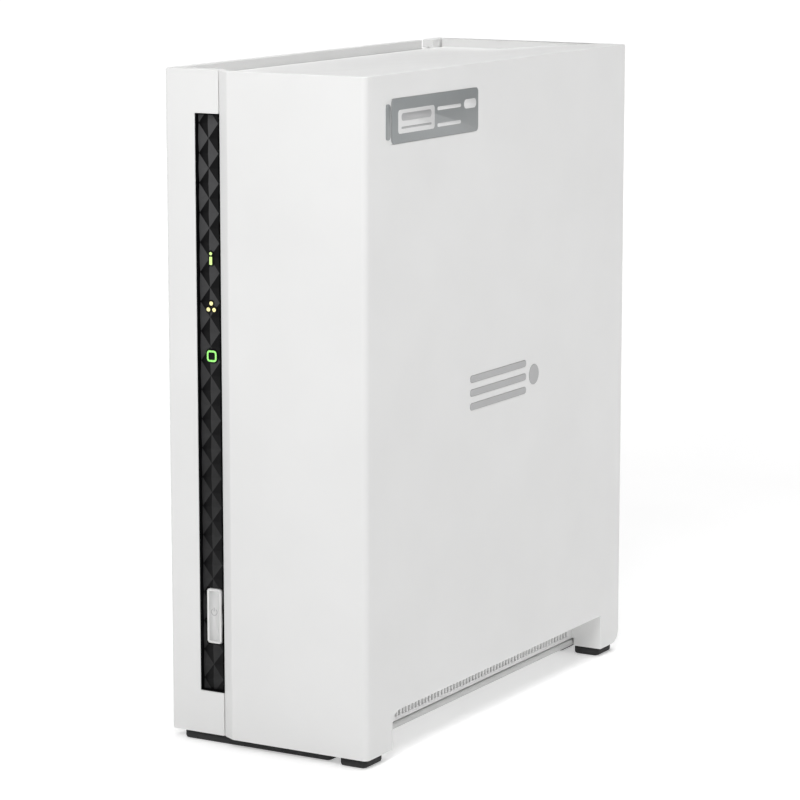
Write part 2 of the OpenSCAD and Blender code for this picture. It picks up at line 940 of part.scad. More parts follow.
// Long turned spacers that stand in the bosses of the left side and carry the bracket
module bracket_spacers() {
    color("silver")
    for (p = bracket_posts)
        difference() {
            union() {
                rod_x([x_in_left + 0.2, p[0], p[1]], spigot_r, spacer_boss_x - x_in_left);
                rod_x([spacer_boss_x, p[0], p[1]], spacer_r, bracket_x0 - spacer_boss_x);
            }
            rod_x([bracket_x0 - 8, p[0], p[1]], screw_r, 9);
        }
}

module bracket_screws() {
    color("silver")
    for (p = bracket_posts)
        screw_left([bracket_x1, p[0], p[1]], 6);
}

module drive_screws() {
    color("silver")
    for (z = side_hole_z)
        for (side = [0, 1])
            translate([side_hole_x, side * (drive_y0 + drive_y1), drive_z0 + z])
                mirror([0, side, 0])
                    union() {
                        rod_y([0, drive_y0 - 1.5, 0], 1.7, 5.5);
                        rod_y([0, drive_y0 - 3.3, 0], 3, 1.8);
                    }
}

// Outline of the drive seen from the side
module drive_outline() {
    translate([drive_y0, drive_z0])
        round_rect([drive_w, drive_l], 3);
}

module drive_base() {
    color([0.7, 0.71, 0.73])
    difference() {
        along_x(drive_x0 + circuit_t, drive_lid_x)
            drive_outline();
        // Disk chamber and the arm's chamber
        rod_x([drive_floor_x, spindle_y, spindle_z], chamber_r, drive_t);
        box([drive_floor_x, drive_y0 + 2.2, drive_z0 + 22],
            [drive_lid_x + 1, drive_y1 - 2.2, pivot_z + 16]);
        // Holes for the side screws
        for (z = side_hole_z)
            for (y = [drive_y0 - 1, drive_y1 - 5])
                rod_y([side_hole_x, y, drive_z0 + z], 1.75, 6);
        // Notch for the plug
        box([drive_x0, plug_y0 - 0.1, drive_z0 - 1],
            [drive_x0 + 9, plug_y0 + plug_l + 0.1, drive_z0 + 8]);
    }
    color([0.7, 0.71, 0.73])
    union() {
        rod_x([drive_floor_x - join, spindle_y, spindle_z], post_r, 14);
        rod_x([drive_floor_x - join, pivot_y, pivot_z], post_r, drive_lid_x - drive_floor_x);
    }
}

module drive_lid() {
    color([0.8, 0.81, 0.82])
    difference() {
        along_x(drive_lid_x, drive_x1)
            drive_outline();
        // Stamped ring over the disks
        difference() {
            rod_x([drive_x1 - 0.5, spindle_y, spindle_z], 40, 2);
            rod_x([drive_x1 - 1, spindle_y, spindle_z], 37, 3);
        }
    }
}

module drive_circuit() {
    color([0.05, 0.25, 0.3])
    difference() {
        box([drive_x0, drive_y0 + 4, drive_z0 + 1], [drive_x0 + circuit_t, drive_y1 - 4, drive_z0 + 62]);
        box([drive_x0 - 1, plug_y0 - 0.5, drive_z0],
            [drive_x0 + 2, plug_y0 + plug_l + 0.5, drive_z0 + 8.5]);
    }
}

module drive_plug() {
    color([0.1, 0.1, 0.1])
    union() {
        box([drive_x0 + 1.2, plug_y0, drive_z0], [drive_x0 + 8.2, plug_y0 + plug_l, drive_z0 + 8]);
        box([tongue_x[0], plug_y0 + 1.2, drive_z0 - tongue_l],
            [tongue_x[1], plug_y0 + plug_l - 1.2, drive_z0 + join]);
    }
}

module drive_disks() {
    color([0.9, 0.9, 0.92])
    for (x = disk_x)
        difference() {
            rod_x([x, spindle_y, spindle_z], disk_r, disk_t);
            rod_x([x - 1, spindle_y, spindle_z], disk_bore_r, 4);
        }
}

module drive_hub() {
    color([0.6, 0.61, 0.63])
    difference() {
        union() {
            rod_x([drive_floor_x + 0.4, spindle_y, spindle_z], hub_r, disk_x[0] - drive_floor_x - 0.4);
            rod_x([disk_x[0] - join, spindle_y, spindle_z], disk_bore_r - running,
                disk_x[1] + disk_t - disk_x[0] + join);
            difference() {
                rod_x([disk_x[0] + disk_t, spindle_y, spindle_z], hub_r, disk_x[1] - disk_x[0] - disk_t);
                rod_x([disk_x[0], spindle_y, spindle_z], disk_bore_r - 0.5, 10);
            }
        }
        rod_x([drive_floor_x, spindle_y, spindle_z], post_r + running, 20);
    }
}

module disk_clamp() {
    x0 = disk_x[1] + disk_t;
    color([0.75, 0.76, 0.78])
    difference() {
        rod_x([x0, spindle_y, spindle_z], hub_r, 1.6);
        rod_x([x0 - 1, spindle_y, spindle_z], 3.4, 4);
        for (i = [0:5])
            translate([x0 - 1, spindle_y, spindle_z])
                rotate([60 * i, 0, 0])
                    rod_x([0, 9, 0], 1.2, 4);
    }
}

// Everything of the arm is drawn along +Y from the pivot, then turned to its parking place
module at_pivot() {
    translate([0, pivot_y, pivot_z])
        rotate([arm_park, 0, 0])
            children();
}

module head_arm() {
    x0 = drive_floor_x + 0.6;
    x1 = drive_lid_x - 0.6;
    color([0.72, 0.73, 0.75])
    at_pivot()
    difference() {
        union() {
            rod_x([x0, 0, 0], 6.5, x1 - x0);
            // Block that joins the arms
            box([arm_x[0], -7, -4.5], [arm_x[2] + arm_t, 7, 4.5]);
            for (x = arm_x)
                along_x(x, x + arm_t)
                    polygon([
                        [5, -4.5], [30, -2.4], [arm_reach, -1.2], [arm_reach, 1.2], [30, 2.4], [5, 4.5]
                    ]);
            // Fork that holds the coil
            for (side = [-1, 1])
                along_x(11, 13)
                    polygon([[-5, side * 2], [-14, side * 8.4], [-14, side * 6.4], [-6, side * 0.5]]);
        }
        rod_x([x0 - 1, 0, 0], post_r + running, 30);
    }
}

module arm_coil() {
    color([0.7, 0.4, 0.2])
    at_pivot()
    difference() {
        along_x(10.6, 13.4)
            polygon([[-14.05, -8.2], [-18.5, -9.8], [-18.5, 9.8], [-14.05, 8.2]]);
        along_x(9, 15)
            polygon([[-15.4, -5.4], [-17, -6.2], [-17, 6.2], [-15.4, 5.4]]);
    }
}

module coil_magnets() {
    color([0.65, 0.66, 0.68])
    for (x = [drive_floor_x, drive_lid_x - 3])
        along_x(x, x + 3)
            translate([pivot_y + 8.5, pivot_z - 15])
                square([12, 30]);
}

// Right half of the case ------------------------------------------------------------------------

// Outline of the front and right walls, seen from above
module cover_outline() {
    difference() {
        union() {
            polygon([
                [strip_x1, y_column], [band_x1, y_front], [x_right - edge_r, y_front],
                [x_right - edge_r, y_front + edge_r], [x_right, y_front + edge_r], [x_right, y_back],
                [x_in_right, y_back], [x_in_right, y_front + wall], [band_x1, y_front + wall],
                [strip_x1, y_column + wall]
            ]);
            translate([x_right - edge_r, y_front + edge_r])
                circle(r = edge_r);
        }
        translate([x_in_right - 6, y_front + wall])
            square([6, 6]);
    }
}

// Section of the top, seen from the front: low on the left, rising to the right
module top_section() {
    polygon([
        [x_in_left + gap, z_dish], [dish_rise_x0, z_dish], [dish_rise_x1, z_top], [x_right, z_top],
        [x_right, z_top - wall], [dish_rise_x1, z_top - wall], [dish_rise_x0, z_dish - wall],
        [x_in_left + gap, z_dish - wall]
    ]);
}

// Outline of the top, seen from above; its right and front edges lie inside the walls
module top_plan() {
    polygon([
        [x_in_left + gap, y_inner], [strip_x1 + 0.6, y_inner], [strip_x1 + 0.6, y_column + 1],
        [band_x1 + 0.3, y_front + 1], [x_right - 1, y_front + 1], [x_right - 1, y_back - 1],
        [x_in_left + gap, y_back - 1]
    ]);
}

// Opening of the arch seen from the right, with its round front corner
module arch_outline() {
    r = 4;
    union() {
        translate([y_arch0 + r, z_floor - 2])
            square([y_arch1 - y_arch0 - r, arch_h + 2]);
        translate([y_arch0, z_floor - 2])
            square([r + join, arch_h + 2 - r]);
        translate([y_arch0 + r, z_arch - r])
            circle(r = r);
    }
}

// Hollow leg between two Y positions
module leg(y0, y1) {
    difference() {
        box([leg_x0, y0, z_floor], [x_right - 1, y1, z_arch + wall]);
        box([leg_x0 + wall, y0 + wall, z_floor + wall], [x_in_right, y1 - wall, z_arch + wall + 1]);
    }
}

module side_cover() {
    vent_n = floor((y_arch1 - y_arch0 - 6) / vent_pitch);
    vent_y0 = (y_arch0 + y_arch1) / 2 - (vent_n - 1) * vent_pitch / 2;
    color("white")
    difference() {
        union() {
            // Front and right walls
            translate([0, 0, z_floor])
                linear_extrude(height = body_h)
                    cover_outline();
            // Top, and its rear rim
            intersection() {
                along_y(y_front, y_back)
                    top_section();
                translate([0, 0, z_floor])
                    linear_extrude(height = body_h)
                        top_plan();
            }
            box([x_in_left + gap, y_back - wall, z_dish - wall], [x_in_right + join, y_back, z_top]);
            // Legs, shelf over the arch and vented wall
            leg(y_front + 1, y_arch0);
            leg(y_arch1, y_back);
            box([vent_x0, y_arch0 - wall, z_arch], [x_in_right + join, y_arch1 + wall, z_arch + wall]);
            box([vent_x0, y_arch0 - wall, z_vent], [vent_x1, y_arch1 + wall, z_arch + join]);
            for (y = [y_arch0 - wall, y_arch1])
                box([vent_x0, y, z_vent], [leg_x0 + join, y + wall, z_arch + join]);
            // Lugs for the screws at the back
            for (z = cover_screw_z)
                box([cover_screw_x - lug, y_panel0 - 5.6, z - lug],
                    [x_in_right + join, y_panel0 - gap, z + lug]);
            // Hook that stands in the notch of the left rim
            box([x_left + 0.1, y_back - hook_y[0], z_dish + gap],
                [x_in_left + gap + hook_w, y_back - hook_y[1], z_top]);
            box([x_in_left + gap, y_back - hook_y[0], z_dish - join],
                [x_in_left + gap + hook_w, y_back - hook_y[1], z_top]);
        }
        // Arch
        along_x(x_in_right - join, x_right + 1)
            arch_outline();
        // Vent slots
        for (i = [0:vent_n - 1])
            box([vent_x0 - 1, vent_y0 + i * vent_pitch - 0.48, z_vent + 1.2],
                [vent_x1 + 1, vent_y0 + i * vent_pitch + 0.48, z_arch - 1]);
        // Round lower corner at the back
        difference() {
            box([x_left, y_back - 4, z_floor - 1], [x_right + 1, y_back + 1, z_floor + 4]);
            rod_x([x_left - 1, y_back - 4, z_floor + 4], 4, body_w + 3);
            box([x_left - 1, y_back - 5, z_floor - 2], [leg_x0 - 1, y_back + 2, z_floor + 5]);
        }
        // Screw holes
        for (z = cover_screw_z)
            rod_y([cover_screw_x, y_panel0 - 6.5, z], screw_r, 8);
        // Shallow seats of the label and of the mark
        along_x(x_right - print_depth, x_right + 1)
            label_outline(print_gap);
        along_x(x_right - print_depth, x_right + 1)
            side_mark_outline(print_gap);
    }
}

// Blank label, then a plain mark of three bars and a dot
module label_outline(grow) {
    translate(label_at - [grow, grow])
        round_rect(label_size + 2 * [grow, grow], label_r);
}

module label_plate() {
    color([0.6, 0.61, 0.61])
    along_x(x_right - print_depth, x_right + print_proud)
        label_outline(0);
}

module side_mark_outline(grow) {
    union() {
        for (row = [-1, 0, 1])
            translate(mark_c + [-21 - grow, row * mark_pitch - mark_bar[1] / 2 - grow])
                round_rect(mark_bar + 2 * [grow, grow], 0.9);
        translate(mark_c + [18, 0])
            circle(r = mark_dot_r + grow);
    }
}

module side_mark() {
    color([0.72, 0.72, 0.72])
    along_x(x_right - print_depth, x_right + print_proud)
        side_mark_outline(0);
}

module cover_feet() {
    x0 = x_right - foot_inset[0] - foot_w;
    color([0.2, 0.2, 0.2])
    for (y = [y_front + foot_inset[1], y_arch1 + 0.4])
        foot_bar(x0, x0 + foot_w, y, y + foot_l);
}

module cover_screws() {
    color("silver")
    for (z = cover_screw_z)
        screw_back([cover_screw_x, y_panel1 + gap, z], 8);
}

// Assembly --------------------------------------------------------------------------------------

left_shell();
base_tray();
rear_panel();
front_strip();
status_lens();
network_lens();
drive_lens();
front_board();
indicator_lamps();
power_switch();
mainboard();
processor();
heat_sink();
memory_chips();
flash_chip();
coin_cell();
cell_holder();
capacitors();
riser_slot();
riser_board();
drive_socket();
network_socket();
usb_sockets();
power_inlet();
reset_switch();
drive_bracket();
bracket_spacers();
drive_base();
drive_lid();
drive_circuit();
drive_plug();
coil_magnets();
fan_frame();
fan_screws();
board_screws();
bracket_screws();
drive_screws();
panel_screws();
base_screws();
front_foot_bar();
rear_foot_bar();
side_cover();
cover_feet();
label_plate();
side_mark();
cover_screws();
power_button();
reset_button();
fan_rotor();
drive_disks();
drive_hub();
disk_clamp();
head_arm();
arm_coil();
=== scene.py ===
import json
import math
import random

import bmesh
import bpy
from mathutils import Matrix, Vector

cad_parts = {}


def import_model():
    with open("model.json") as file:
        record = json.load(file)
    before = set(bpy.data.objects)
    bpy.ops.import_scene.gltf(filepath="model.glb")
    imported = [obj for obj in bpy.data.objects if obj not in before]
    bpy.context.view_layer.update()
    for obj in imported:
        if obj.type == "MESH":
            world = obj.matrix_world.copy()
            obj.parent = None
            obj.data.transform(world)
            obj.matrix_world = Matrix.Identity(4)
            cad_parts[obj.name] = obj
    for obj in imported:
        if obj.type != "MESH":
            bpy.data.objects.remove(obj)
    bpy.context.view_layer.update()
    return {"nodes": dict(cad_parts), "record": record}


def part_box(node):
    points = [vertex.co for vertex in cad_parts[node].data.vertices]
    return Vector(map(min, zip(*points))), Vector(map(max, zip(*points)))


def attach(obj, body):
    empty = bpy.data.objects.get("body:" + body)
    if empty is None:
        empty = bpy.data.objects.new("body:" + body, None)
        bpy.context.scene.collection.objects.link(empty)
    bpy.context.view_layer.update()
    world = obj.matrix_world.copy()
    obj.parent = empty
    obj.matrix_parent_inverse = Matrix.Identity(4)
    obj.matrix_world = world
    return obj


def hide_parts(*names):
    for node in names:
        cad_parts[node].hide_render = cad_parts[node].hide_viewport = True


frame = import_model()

# Lengths are in metres, in the frame's own axes: +X right, +Y back, +Z up.
MM = 0.001

# CAD surfaces: points closer than WELD become one, and faces that bend less than FLAT_BEND become one
WELD = 0.001 * MM
FLAT_BEND = math.radians(1)

# Rounding of edges: bends up to SMOOTH_BEND degrees stay as they are, and the rounding of one edge
# takes at most NARROW_SHARE of the narrow face beside it
SMOOTH_BEND = 24
NARROW_SHARE = 0.4
BEVEL_SEGMENTS = 2
FLAT_FACE_WEIGHT = 100
# Search for the nearest other side of a face: how far it looks, the gap up to which a point counts
# as on the side itself, and how squarely the other side must lie
FAR = 1.0
CLOSE = 0.005 * MM
SIDEWAYS = 0.7


# Mesh helpers ------------------------------------------------------------------------------------

def joined_faces(node):
    """A CAD node's surface as a bmesh, welded, with each flat region as one face."""
    source = frame["nodes"][node].data
    mesh = bmesh.new()
    verts = [mesh.verts.new(v.co) for v in source.vertices]
    for polygon in source.polygons:
        mesh.faces.new([verts[i] for i in polygon.vertices])
    bmesh.ops.remove_doubles(mesh, verts=mesh.verts, dist=WELD)
    bmesh.ops.dissolve_limit(mesh, angle_limit=FLAT_BEND, verts=mesh.verts, edges=mesh.edges)
    return mesh


def loft(rings, closed=False):
    """Skin over rings of equal length; the ends are capped, or joined to each other."""
    mesh = bmesh.new()
    loops = [[mesh.verts.new(p) for p in ring] for ring in rings]
    count = len(loops[0])
    pairs = list(zip(loops, loops[1:]))
    if closed:
        pairs.append((loops[-1], loops[0]))
    for a, b in pairs:
        for i in range(count):
            j = (i + 1) % count
            mesh.faces.new([a[i], a[j], b[j], b[i]])
    if not closed:
        mesh.faces.new(loops[0])
        mesh.faces.new(loops[-1])
    bmesh.ops.recalc_face_normals(mesh, faces=mesh.faces)
    return mesh


def merged(meshes):
    """Several bmeshes as one."""
    whole = bmesh.new()
    for mesh in meshes:
        part = bpy.data.meshes.new("part")
        mesh.to_mesh(part)
        mesh.free()
        whole.from_mesh(part)
        bpy.data.meshes.remove(part)
    return whole


def room_beside(loop):
    """How far a face runs inwards from one of its sides before it meets another side."""
    start, end = loop.vert.co, loop.link_loop_next.vert.co
    length = (end - start).length
    along = (end - start) / length
    inwards = loop.face.normal.cross(along)
    room = FAR
    for v in loop.face.verts:
        offset = v.co - start
        depth = offset.dot(inwards)
        if CLOSE < depth < room and 0 < offset.dot(along) < length:
            room = depth
    for other in loop.face.loops:
        a, b = other.vert.co, other.link_loop_next.vert.co
        side = b - a
        for p in (start, end, (start + end) / 2):
            share = min(1, max(0, (p - a).dot(side) / side.length_squared))
            gap = a + side * share - p
            if CLOSE < gap.length < room and gap.dot(inwards) > SIDEWAYS * gap.length:
                room = gap.length
    return room


def soften(piece, width):
    """Rounds the sharp edges of a piece, less beside narrow faces, and shades its flat faces as flat."""
    mesh = bmesh.new()
    mesh.from_mesh(piece.data)
    weight = mesh.edges.layers.float.new("bevel_weight_edge")
    for edge in mesh.edges:
        if edge.is_manifold and edge.calc_face_angle() > math.radians(SMOOTH_BEND):
            room = min(room_beside(loop) for loop in edge.link_loops)
            edge[weight] = min(1.0, NARROW_SHARE * room / width)
    mesh.to_mesh(piece.data)
    mesh.free()
    bevel = piece.modifiers.new("bevel", "BEVEL")
    bevel.width = width
    bevel.segments = BEVEL_SEGMENTS
    bevel.limit_method = "WEIGHT"
    bevel.use_clamp_overlap = False
    flat = piece.modifiers.new("flat_faces", "WEIGHTED_NORMAL")
    flat.weight = FLAT_FACE_WEIGHT
    flat.keep_sharp = True


def make_piece(name, mesh, body, slot, replaces=(), looks=()):
    """Turns a bmesh into a piece that rides on a body and stands for the named CAD nodes.

    looks names its materials; without them it has the material of its slot.
    """
    data = bpy.data.meshes.new(name)
    mesh.to_mesh(data)
    mesh.free()
    for polygon in data.polygons:
        polygon.use_smooth = True
    for look in looks or [slot]:
        data.materials.append(MATERIALS[look])
    piece = bpy.data.objects.new(name, data)
    bpy.context.scene.collection.objects.link(piece)
    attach(piece, body)
    if replaces:
        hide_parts(*replaces)
    return piece


def arc(cx, cy, r, start, end, steps):
    """Points of an arc, in degrees."""
    return [
        (
            cx + r * math.cos(math.radians(start + (end - start) * i / steps)),
            cy + r * math.sin(math.radians(start + (end - start) * i / steps)),
        )
        for i in range(steps + 1)
    ]


# Corners of an inset outline stay at least this round
LEAST_RADIUS = 0.02 * MM


def round_rect(w, h, r, steps=6):
    """Outline of a rectangle with round corners, about its own centre."""
    a, b = w / 2 - r, h / 2 - r
    return (
        arc(a, b, r, 0, 90, steps)
        + arc(-a, b, r, 90, 180, steps)
        + arc(-a, -b, r, 180, 270, steps)
        + arc(a, -b, r, 270, 360, steps)
    )


def facing_front(outline, x, y, z):
    """Outline in X and Z on a plane that faces the front."""
    return [(x + u, y, z + v) for u, v in outline]


def facing_right(outline, x, y, z):
    """Outline in Y and Z on a plane that faces right."""
    return [(x, y + u, z + v) for u, v in outline]


def facing_down(outline, x, y, z):
    """Outline in X and Y on a level plane."""
    return [(x + u, y + v, z) for u, v in outline]


def raised(place, w, h, r, centre, out, profile, steps=6):
    """Rounded plate. profile lists (inset, height); height grows along the direction out (-1 or 1)."""
    x, y, z = centre
    rings = []
    for inset, height in profile:
        outline = round_rect(w - 2 * inset, h - 2 * inset, max(r - inset, LEAST_RADIUS), steps)
        if place is facing_front:
            rings.append(place(outline, x, y + out * height, z))
        elif place is facing_right:
            rings.append(place(outline, x + out * height, y, z))
        else:
            rings.append(place(outline, x, y, z + out * height))
    return loft(rings)


# Material helpers --------------------------------------------------------------------------------

def shade(colour, factor):
    """A colour made darker or lighter by a factor."""
    return tuple(min(1.0, c * factor) for c in colour)


class Finish:
    """A Principled material and the few node groups that the finishes below share."""

    def __init__(self, name, colour, roughness, metallic=0.0):
        self.material = bpy.data.materials.new(name)
        self.material.use_nodes = True
        self.nodes = self.material.node_tree.nodes
        self.links = self.material.node_tree.links
        self.shader = self.nodes["Principled BSDF"]
        self.material.diffuse_color = (*colour, 1)
        self.set("Base Color", (*colour, 1))
        self.set("Roughness", roughness)
        self.set("Metallic", metallic)
        self.place = self.nodes.new("ShaderNodeTexCoord").outputs["Object"]

    def set(self, socket, value):
        self.shader.inputs[socket].default_value = value
        return self

    def stretched(self, scale):
        mapping = self.nodes.new("ShaderNodeMapping")
        mapping.inputs["Scale"].default_value = scale
        self.links.new(self.place, mapping.inputs["Vector"])
        return mapping.outputs["Vector"]

    def noise(self, size, detail=2.0, stretch=None):
        """Soft noise with features of the given size."""
        node = self.nodes.new("ShaderNodeTexNoise")
        node.inputs["Scale"].default_value = 1 / size
        node.inputs["Detail"].default_value = detail
        self.links.new(self.stretched(stretch) if stretch else self.place, node.inputs["Vector"])
        return node.outputs["Fac"]

    def cells(self, size, feature="F1", metric="EUCLIDEAN"):
        node = self.nodes.new("ShaderNodeTexVoronoi")
        node.feature = feature
        if feature != "DISTANCE_TO_EDGE":
            node.distance = metric
        node.inputs["Scale"].default_value = 1 / size
        self.links.new(self.place, node.inputs["Vector"])
        return node.outputs["Distance"]

    def waves(self, size, direction):
        node = self.nodes.new("ShaderNodeTexWave")
        node.bands_direction = direction
        node.inputs["Scale"].default_value = math.pi / 10 / size
        self.links.new(self.place, node.inputs["Vector"])
        return node.outputs["Fac"]

    def height(self):
        """Height above the origin of the frame."""
        node = self.nodes.new("ShaderNodeSeparateXYZ")
        self.links.new(self.place, node.inputs["Vector"])
        return node.outputs["Z"]

    def total(self, a, b):
        """Sum of two values."""
        node = self.nodes.new("ShaderNodeMath")
        self.links.new(a, node.inputs[0])
        self.links.new(b, node.inputs[1])
        return node.outputs["Value"]

    def spread(self, value, low, high, at=(0.3, 0.7)):
        """Maps a texture's value to a range."""
        node = self.nodes.new("ShaderNodeMapRange")
        node.inputs["From Min"].default_value = at[0]
        node.inputs["From Max"].default_value = at[1]
        node.inputs["To Min"].default_value = low
        node.inputs["To Max"].default_value = high
        self.links.new(value, node.inputs["Value"])
        return node.outputs["Result"]

    def blend(self, factor, a, b):
        node = self.nodes.new("ShaderNodeMix")
        node.data_type = "RGBA"
        node.inputs["A"].default_value = (*a, 1)
        node.inputs["B"].default_value = (*b, 1)
        self.links.new(factor, node.inputs["Factor"])
        return node.outputs["Result"]

    def connect(self, value, socket):
        self.links.new(value, self.shader.inputs[socket])
        return self

    def mottled(self, colour, size, detail, darkest, lightest):
        """Cloudy tone between two shades of a colour."""
        cloud = self.spread(self.noise(size, detail), 0, 1)
        tones = shade(colour, darkest), shade(colour, lightest)
        return self.connect(self.blend(cloud, *tones), "Base Color")

    def uneven_gloss(self, size, detail, low, high):
        """Roughness that wanders between two values."""
        return self.connect(self.spread(self.noise(size, detail), low, high), "Roughness")

    def bump(self, heights):
        """Bump from (texture value, depth) pairs, one after the other."""
        normal = None
        for value, depth in heights:
            node = self.nodes.new("ShaderNodeBump")
            node.inputs["Distance"].default_value = depth
            node.inputs["Strength"].default_value = 1.0
            self.links.new(value, node.inputs["Height"])
            if normal:
                self.links.new(normal, node.inputs["Normal"])
            normal = node.outputs["Normal"]
        self.links.new(normal, self.shader.inputs["Normal"])
        return self


def moulded_plastic(name, colour, roughness, grain=0.25 * MM, depth=0.004 * MM, mottle=0.015):
    """Moulded plastic with a fine eroded grain, faint flow marks and uneven gloss."""
    f = Finish(name, colour, roughness)
    f.mottled(colour, 28 * MM, 2.0, 1 - mottle, 1 + mottle)
    f.uneven_gloss(6 * MM, 3.0, roughness - 0.03, roughness + 0.04)
    f.bump([(f.noise(12 * MM, 1.0), 0.5 * depth), (f.noise(grain, 3.0), depth)])
    return f.material


# Painted shade: the patterned strip's lighter tone gets paler between these heights and darker towards
# the foot, with PATCHES of the change left to noise
FADE_LOW_Z = 75 * MM
FADE_HIGH_Z = 165 * MM
PATCHES = 0.05


def satin_facet(name, colour, roughness, specular, painted_foot_shade=1.0):
    """One tone of the patterned strip; its last argument is how much of the colour is left at its foot,
    a painted shade that darkens it downwards.
    """
    f = Finish(name, colour, roughness)
    f.set("Specular IOR Level", specular)
    f.uneven_gloss(1.2 * MM, 3.0, roughness - 0.04, roughness + 0.05)
    # Painted shade: the colour darkens towards the foot of the object
    height = f.spread(f.height(), PATCHES, 1 - PATCHES, (FADE_LOW_Z, FADE_HIGH_Z))
    tone = f.total(height, f.spread(f.noise(3 * MM), -PATCHES, PATCHES))
    f.connect(f.blend(tone, shade(colour, painted_foot_shade), colour), "Base Color")
    f.bump([(f.noise(0.2 * MM, 2.0), 0.0008 * MM)])
    return f.material


def lit_lens(name, colour, edge_colour, strength):
    """Light guide that glows from behind, in two tones that follow its grain."""
    f = Finish(name, colour, 0.35)
    glow = f.blend(f.spread(f.noise(0.5 * MM), 0, 1), edge_colour, colour)
    f.connect(glow, "Base Color")
    f.connect(glow, "Emission Color")
    f.set("Emission Strength", strength)
    f.bump([(f.noise(0.15 * MM), 0.002 * MM)])
    return f.material


def rubber(name, colour):
    """Pebbled rubber with a dusty tone."""
    f = Finish(name, colour, 0.75)
    f.mottled(colour, 4 * MM, 4.0, 0.75, 1.25)
    f.uneven_gloss(2 * MM, 3.0, 0.65, 0.85)
    f.bump([(f.cells(0.35 * MM), 0.02 * MM), (f.noise(0.12 * MM), 0.01 * MM)])
    return f.material


def brushed_metal(name, colour, roughness, stretch=(1, 1, 40), depth=0.002 * MM, anisotropy=0.4):
    """Rolled or brushed metal: its grain is finest along the axis where stretch is largest."""
    f = Finish(name, colour, roughness, 1.0)
    f.set("Anisotropic", anisotropy)
    lines = f.noise(8 * MM, 6.0, stretch)
    f.connect(f.spread(lines, max(roughness - 0.08, 0.02), roughness + 0.1), "Roughness")
    f.mottled(colour, 9 * MM, 3.0, 0.93, 1.05)
    f.bump([(lines, depth)])
    return f.material


def cast_metal(name, colour, roughness):
    """Die-cast aluminium: fine pits and a cloudy tone."""
    f = Finish(name, colour, roughness, 1.0)
    f.mottled(colour, 5 * MM, 5.0, 0.82, 1.08)
    f.uneven_gloss(1.5 * MM, 4.0, roughness - 0.08, roughness + 0.12)
    f.bump([(f.noise(0.3 * MM, 4.0), 0.012 * MM)])
    return f.material


def circuit_board(name, mask, trace):
    """Solder mask over copper: thin tracks and pads show through as a lighter tone and a low step."""
    f = Finish(name, mask, 0.32)
    tracks = f.cells(3.1 * MM, "DISTANCE_TO_EDGE")
    fine = f.cells(1.4 * MM, "F1", "MANHATTAN")
    edge = f.spread(tracks, 1, 0, (0.05, 0.09))
    f.connect(f.blend(edge, mask, trace), "Base Color")
    f.connect(f.spread(fine, 0.28, 0.42), "Roughness")
    f.set("Coat Weight", 0.3)
    f.set("Coat Roughness", 0.15)
    f.bump([(edge, 0.02 * MM), (f.noise(0.4 * MM), 0.003 * MM)])
    return f.material


def chip_epoxy(name, colour):
    """Matt black resin with a pale mineral filler."""
    f = Finish(name, colour, 0.55)
    f.mottled(colour, 0.25 * MM, 4.0, 0.7, 1.5)
    f.uneven_gloss(0.6 * MM, 3.0, 0.45, 0.65)
    f.bump([(f.noise(0.12 * MM, 3.0), 0.004 * MM)])
    return f.material


def wound_wire(name, colour):
    """Enamelled copper wire, wound in layers."""
    f = Finish(name, colour, 0.28, 1.0)
    turns = f.waves(0.3 * MM, "X")
    # Painted shade in the gaps between the turns, and a painted highlight on their crowns
    gap_shade_crown_light = f.spread(turns, 0, 1, (0, 1))
    f.connect(f.blend(gap_shade_crown_light, shade(colour, 0.55), shade(colour, 1.1)), "Base Color")
    f.uneven_gloss(1 * MM, 2.0, 0.22, 0.36)
    f.bump([(turns, 0.05 * MM)])
    return f.material


def sleeved_can(name, colour):
    """Plastic sleeve of a capacitor."""
    f = Finish(name, colour, 0.3)
    f.mottled(colour, 3 * MM, 2.0, 0.9, 1.15)
    f.uneven_gloss(1 * MM, 2.0, 0.25, 0.4)
    f.bump([(f.noise(1.5 * MM, 2.0), 0.01 * MM)])
    return f.material


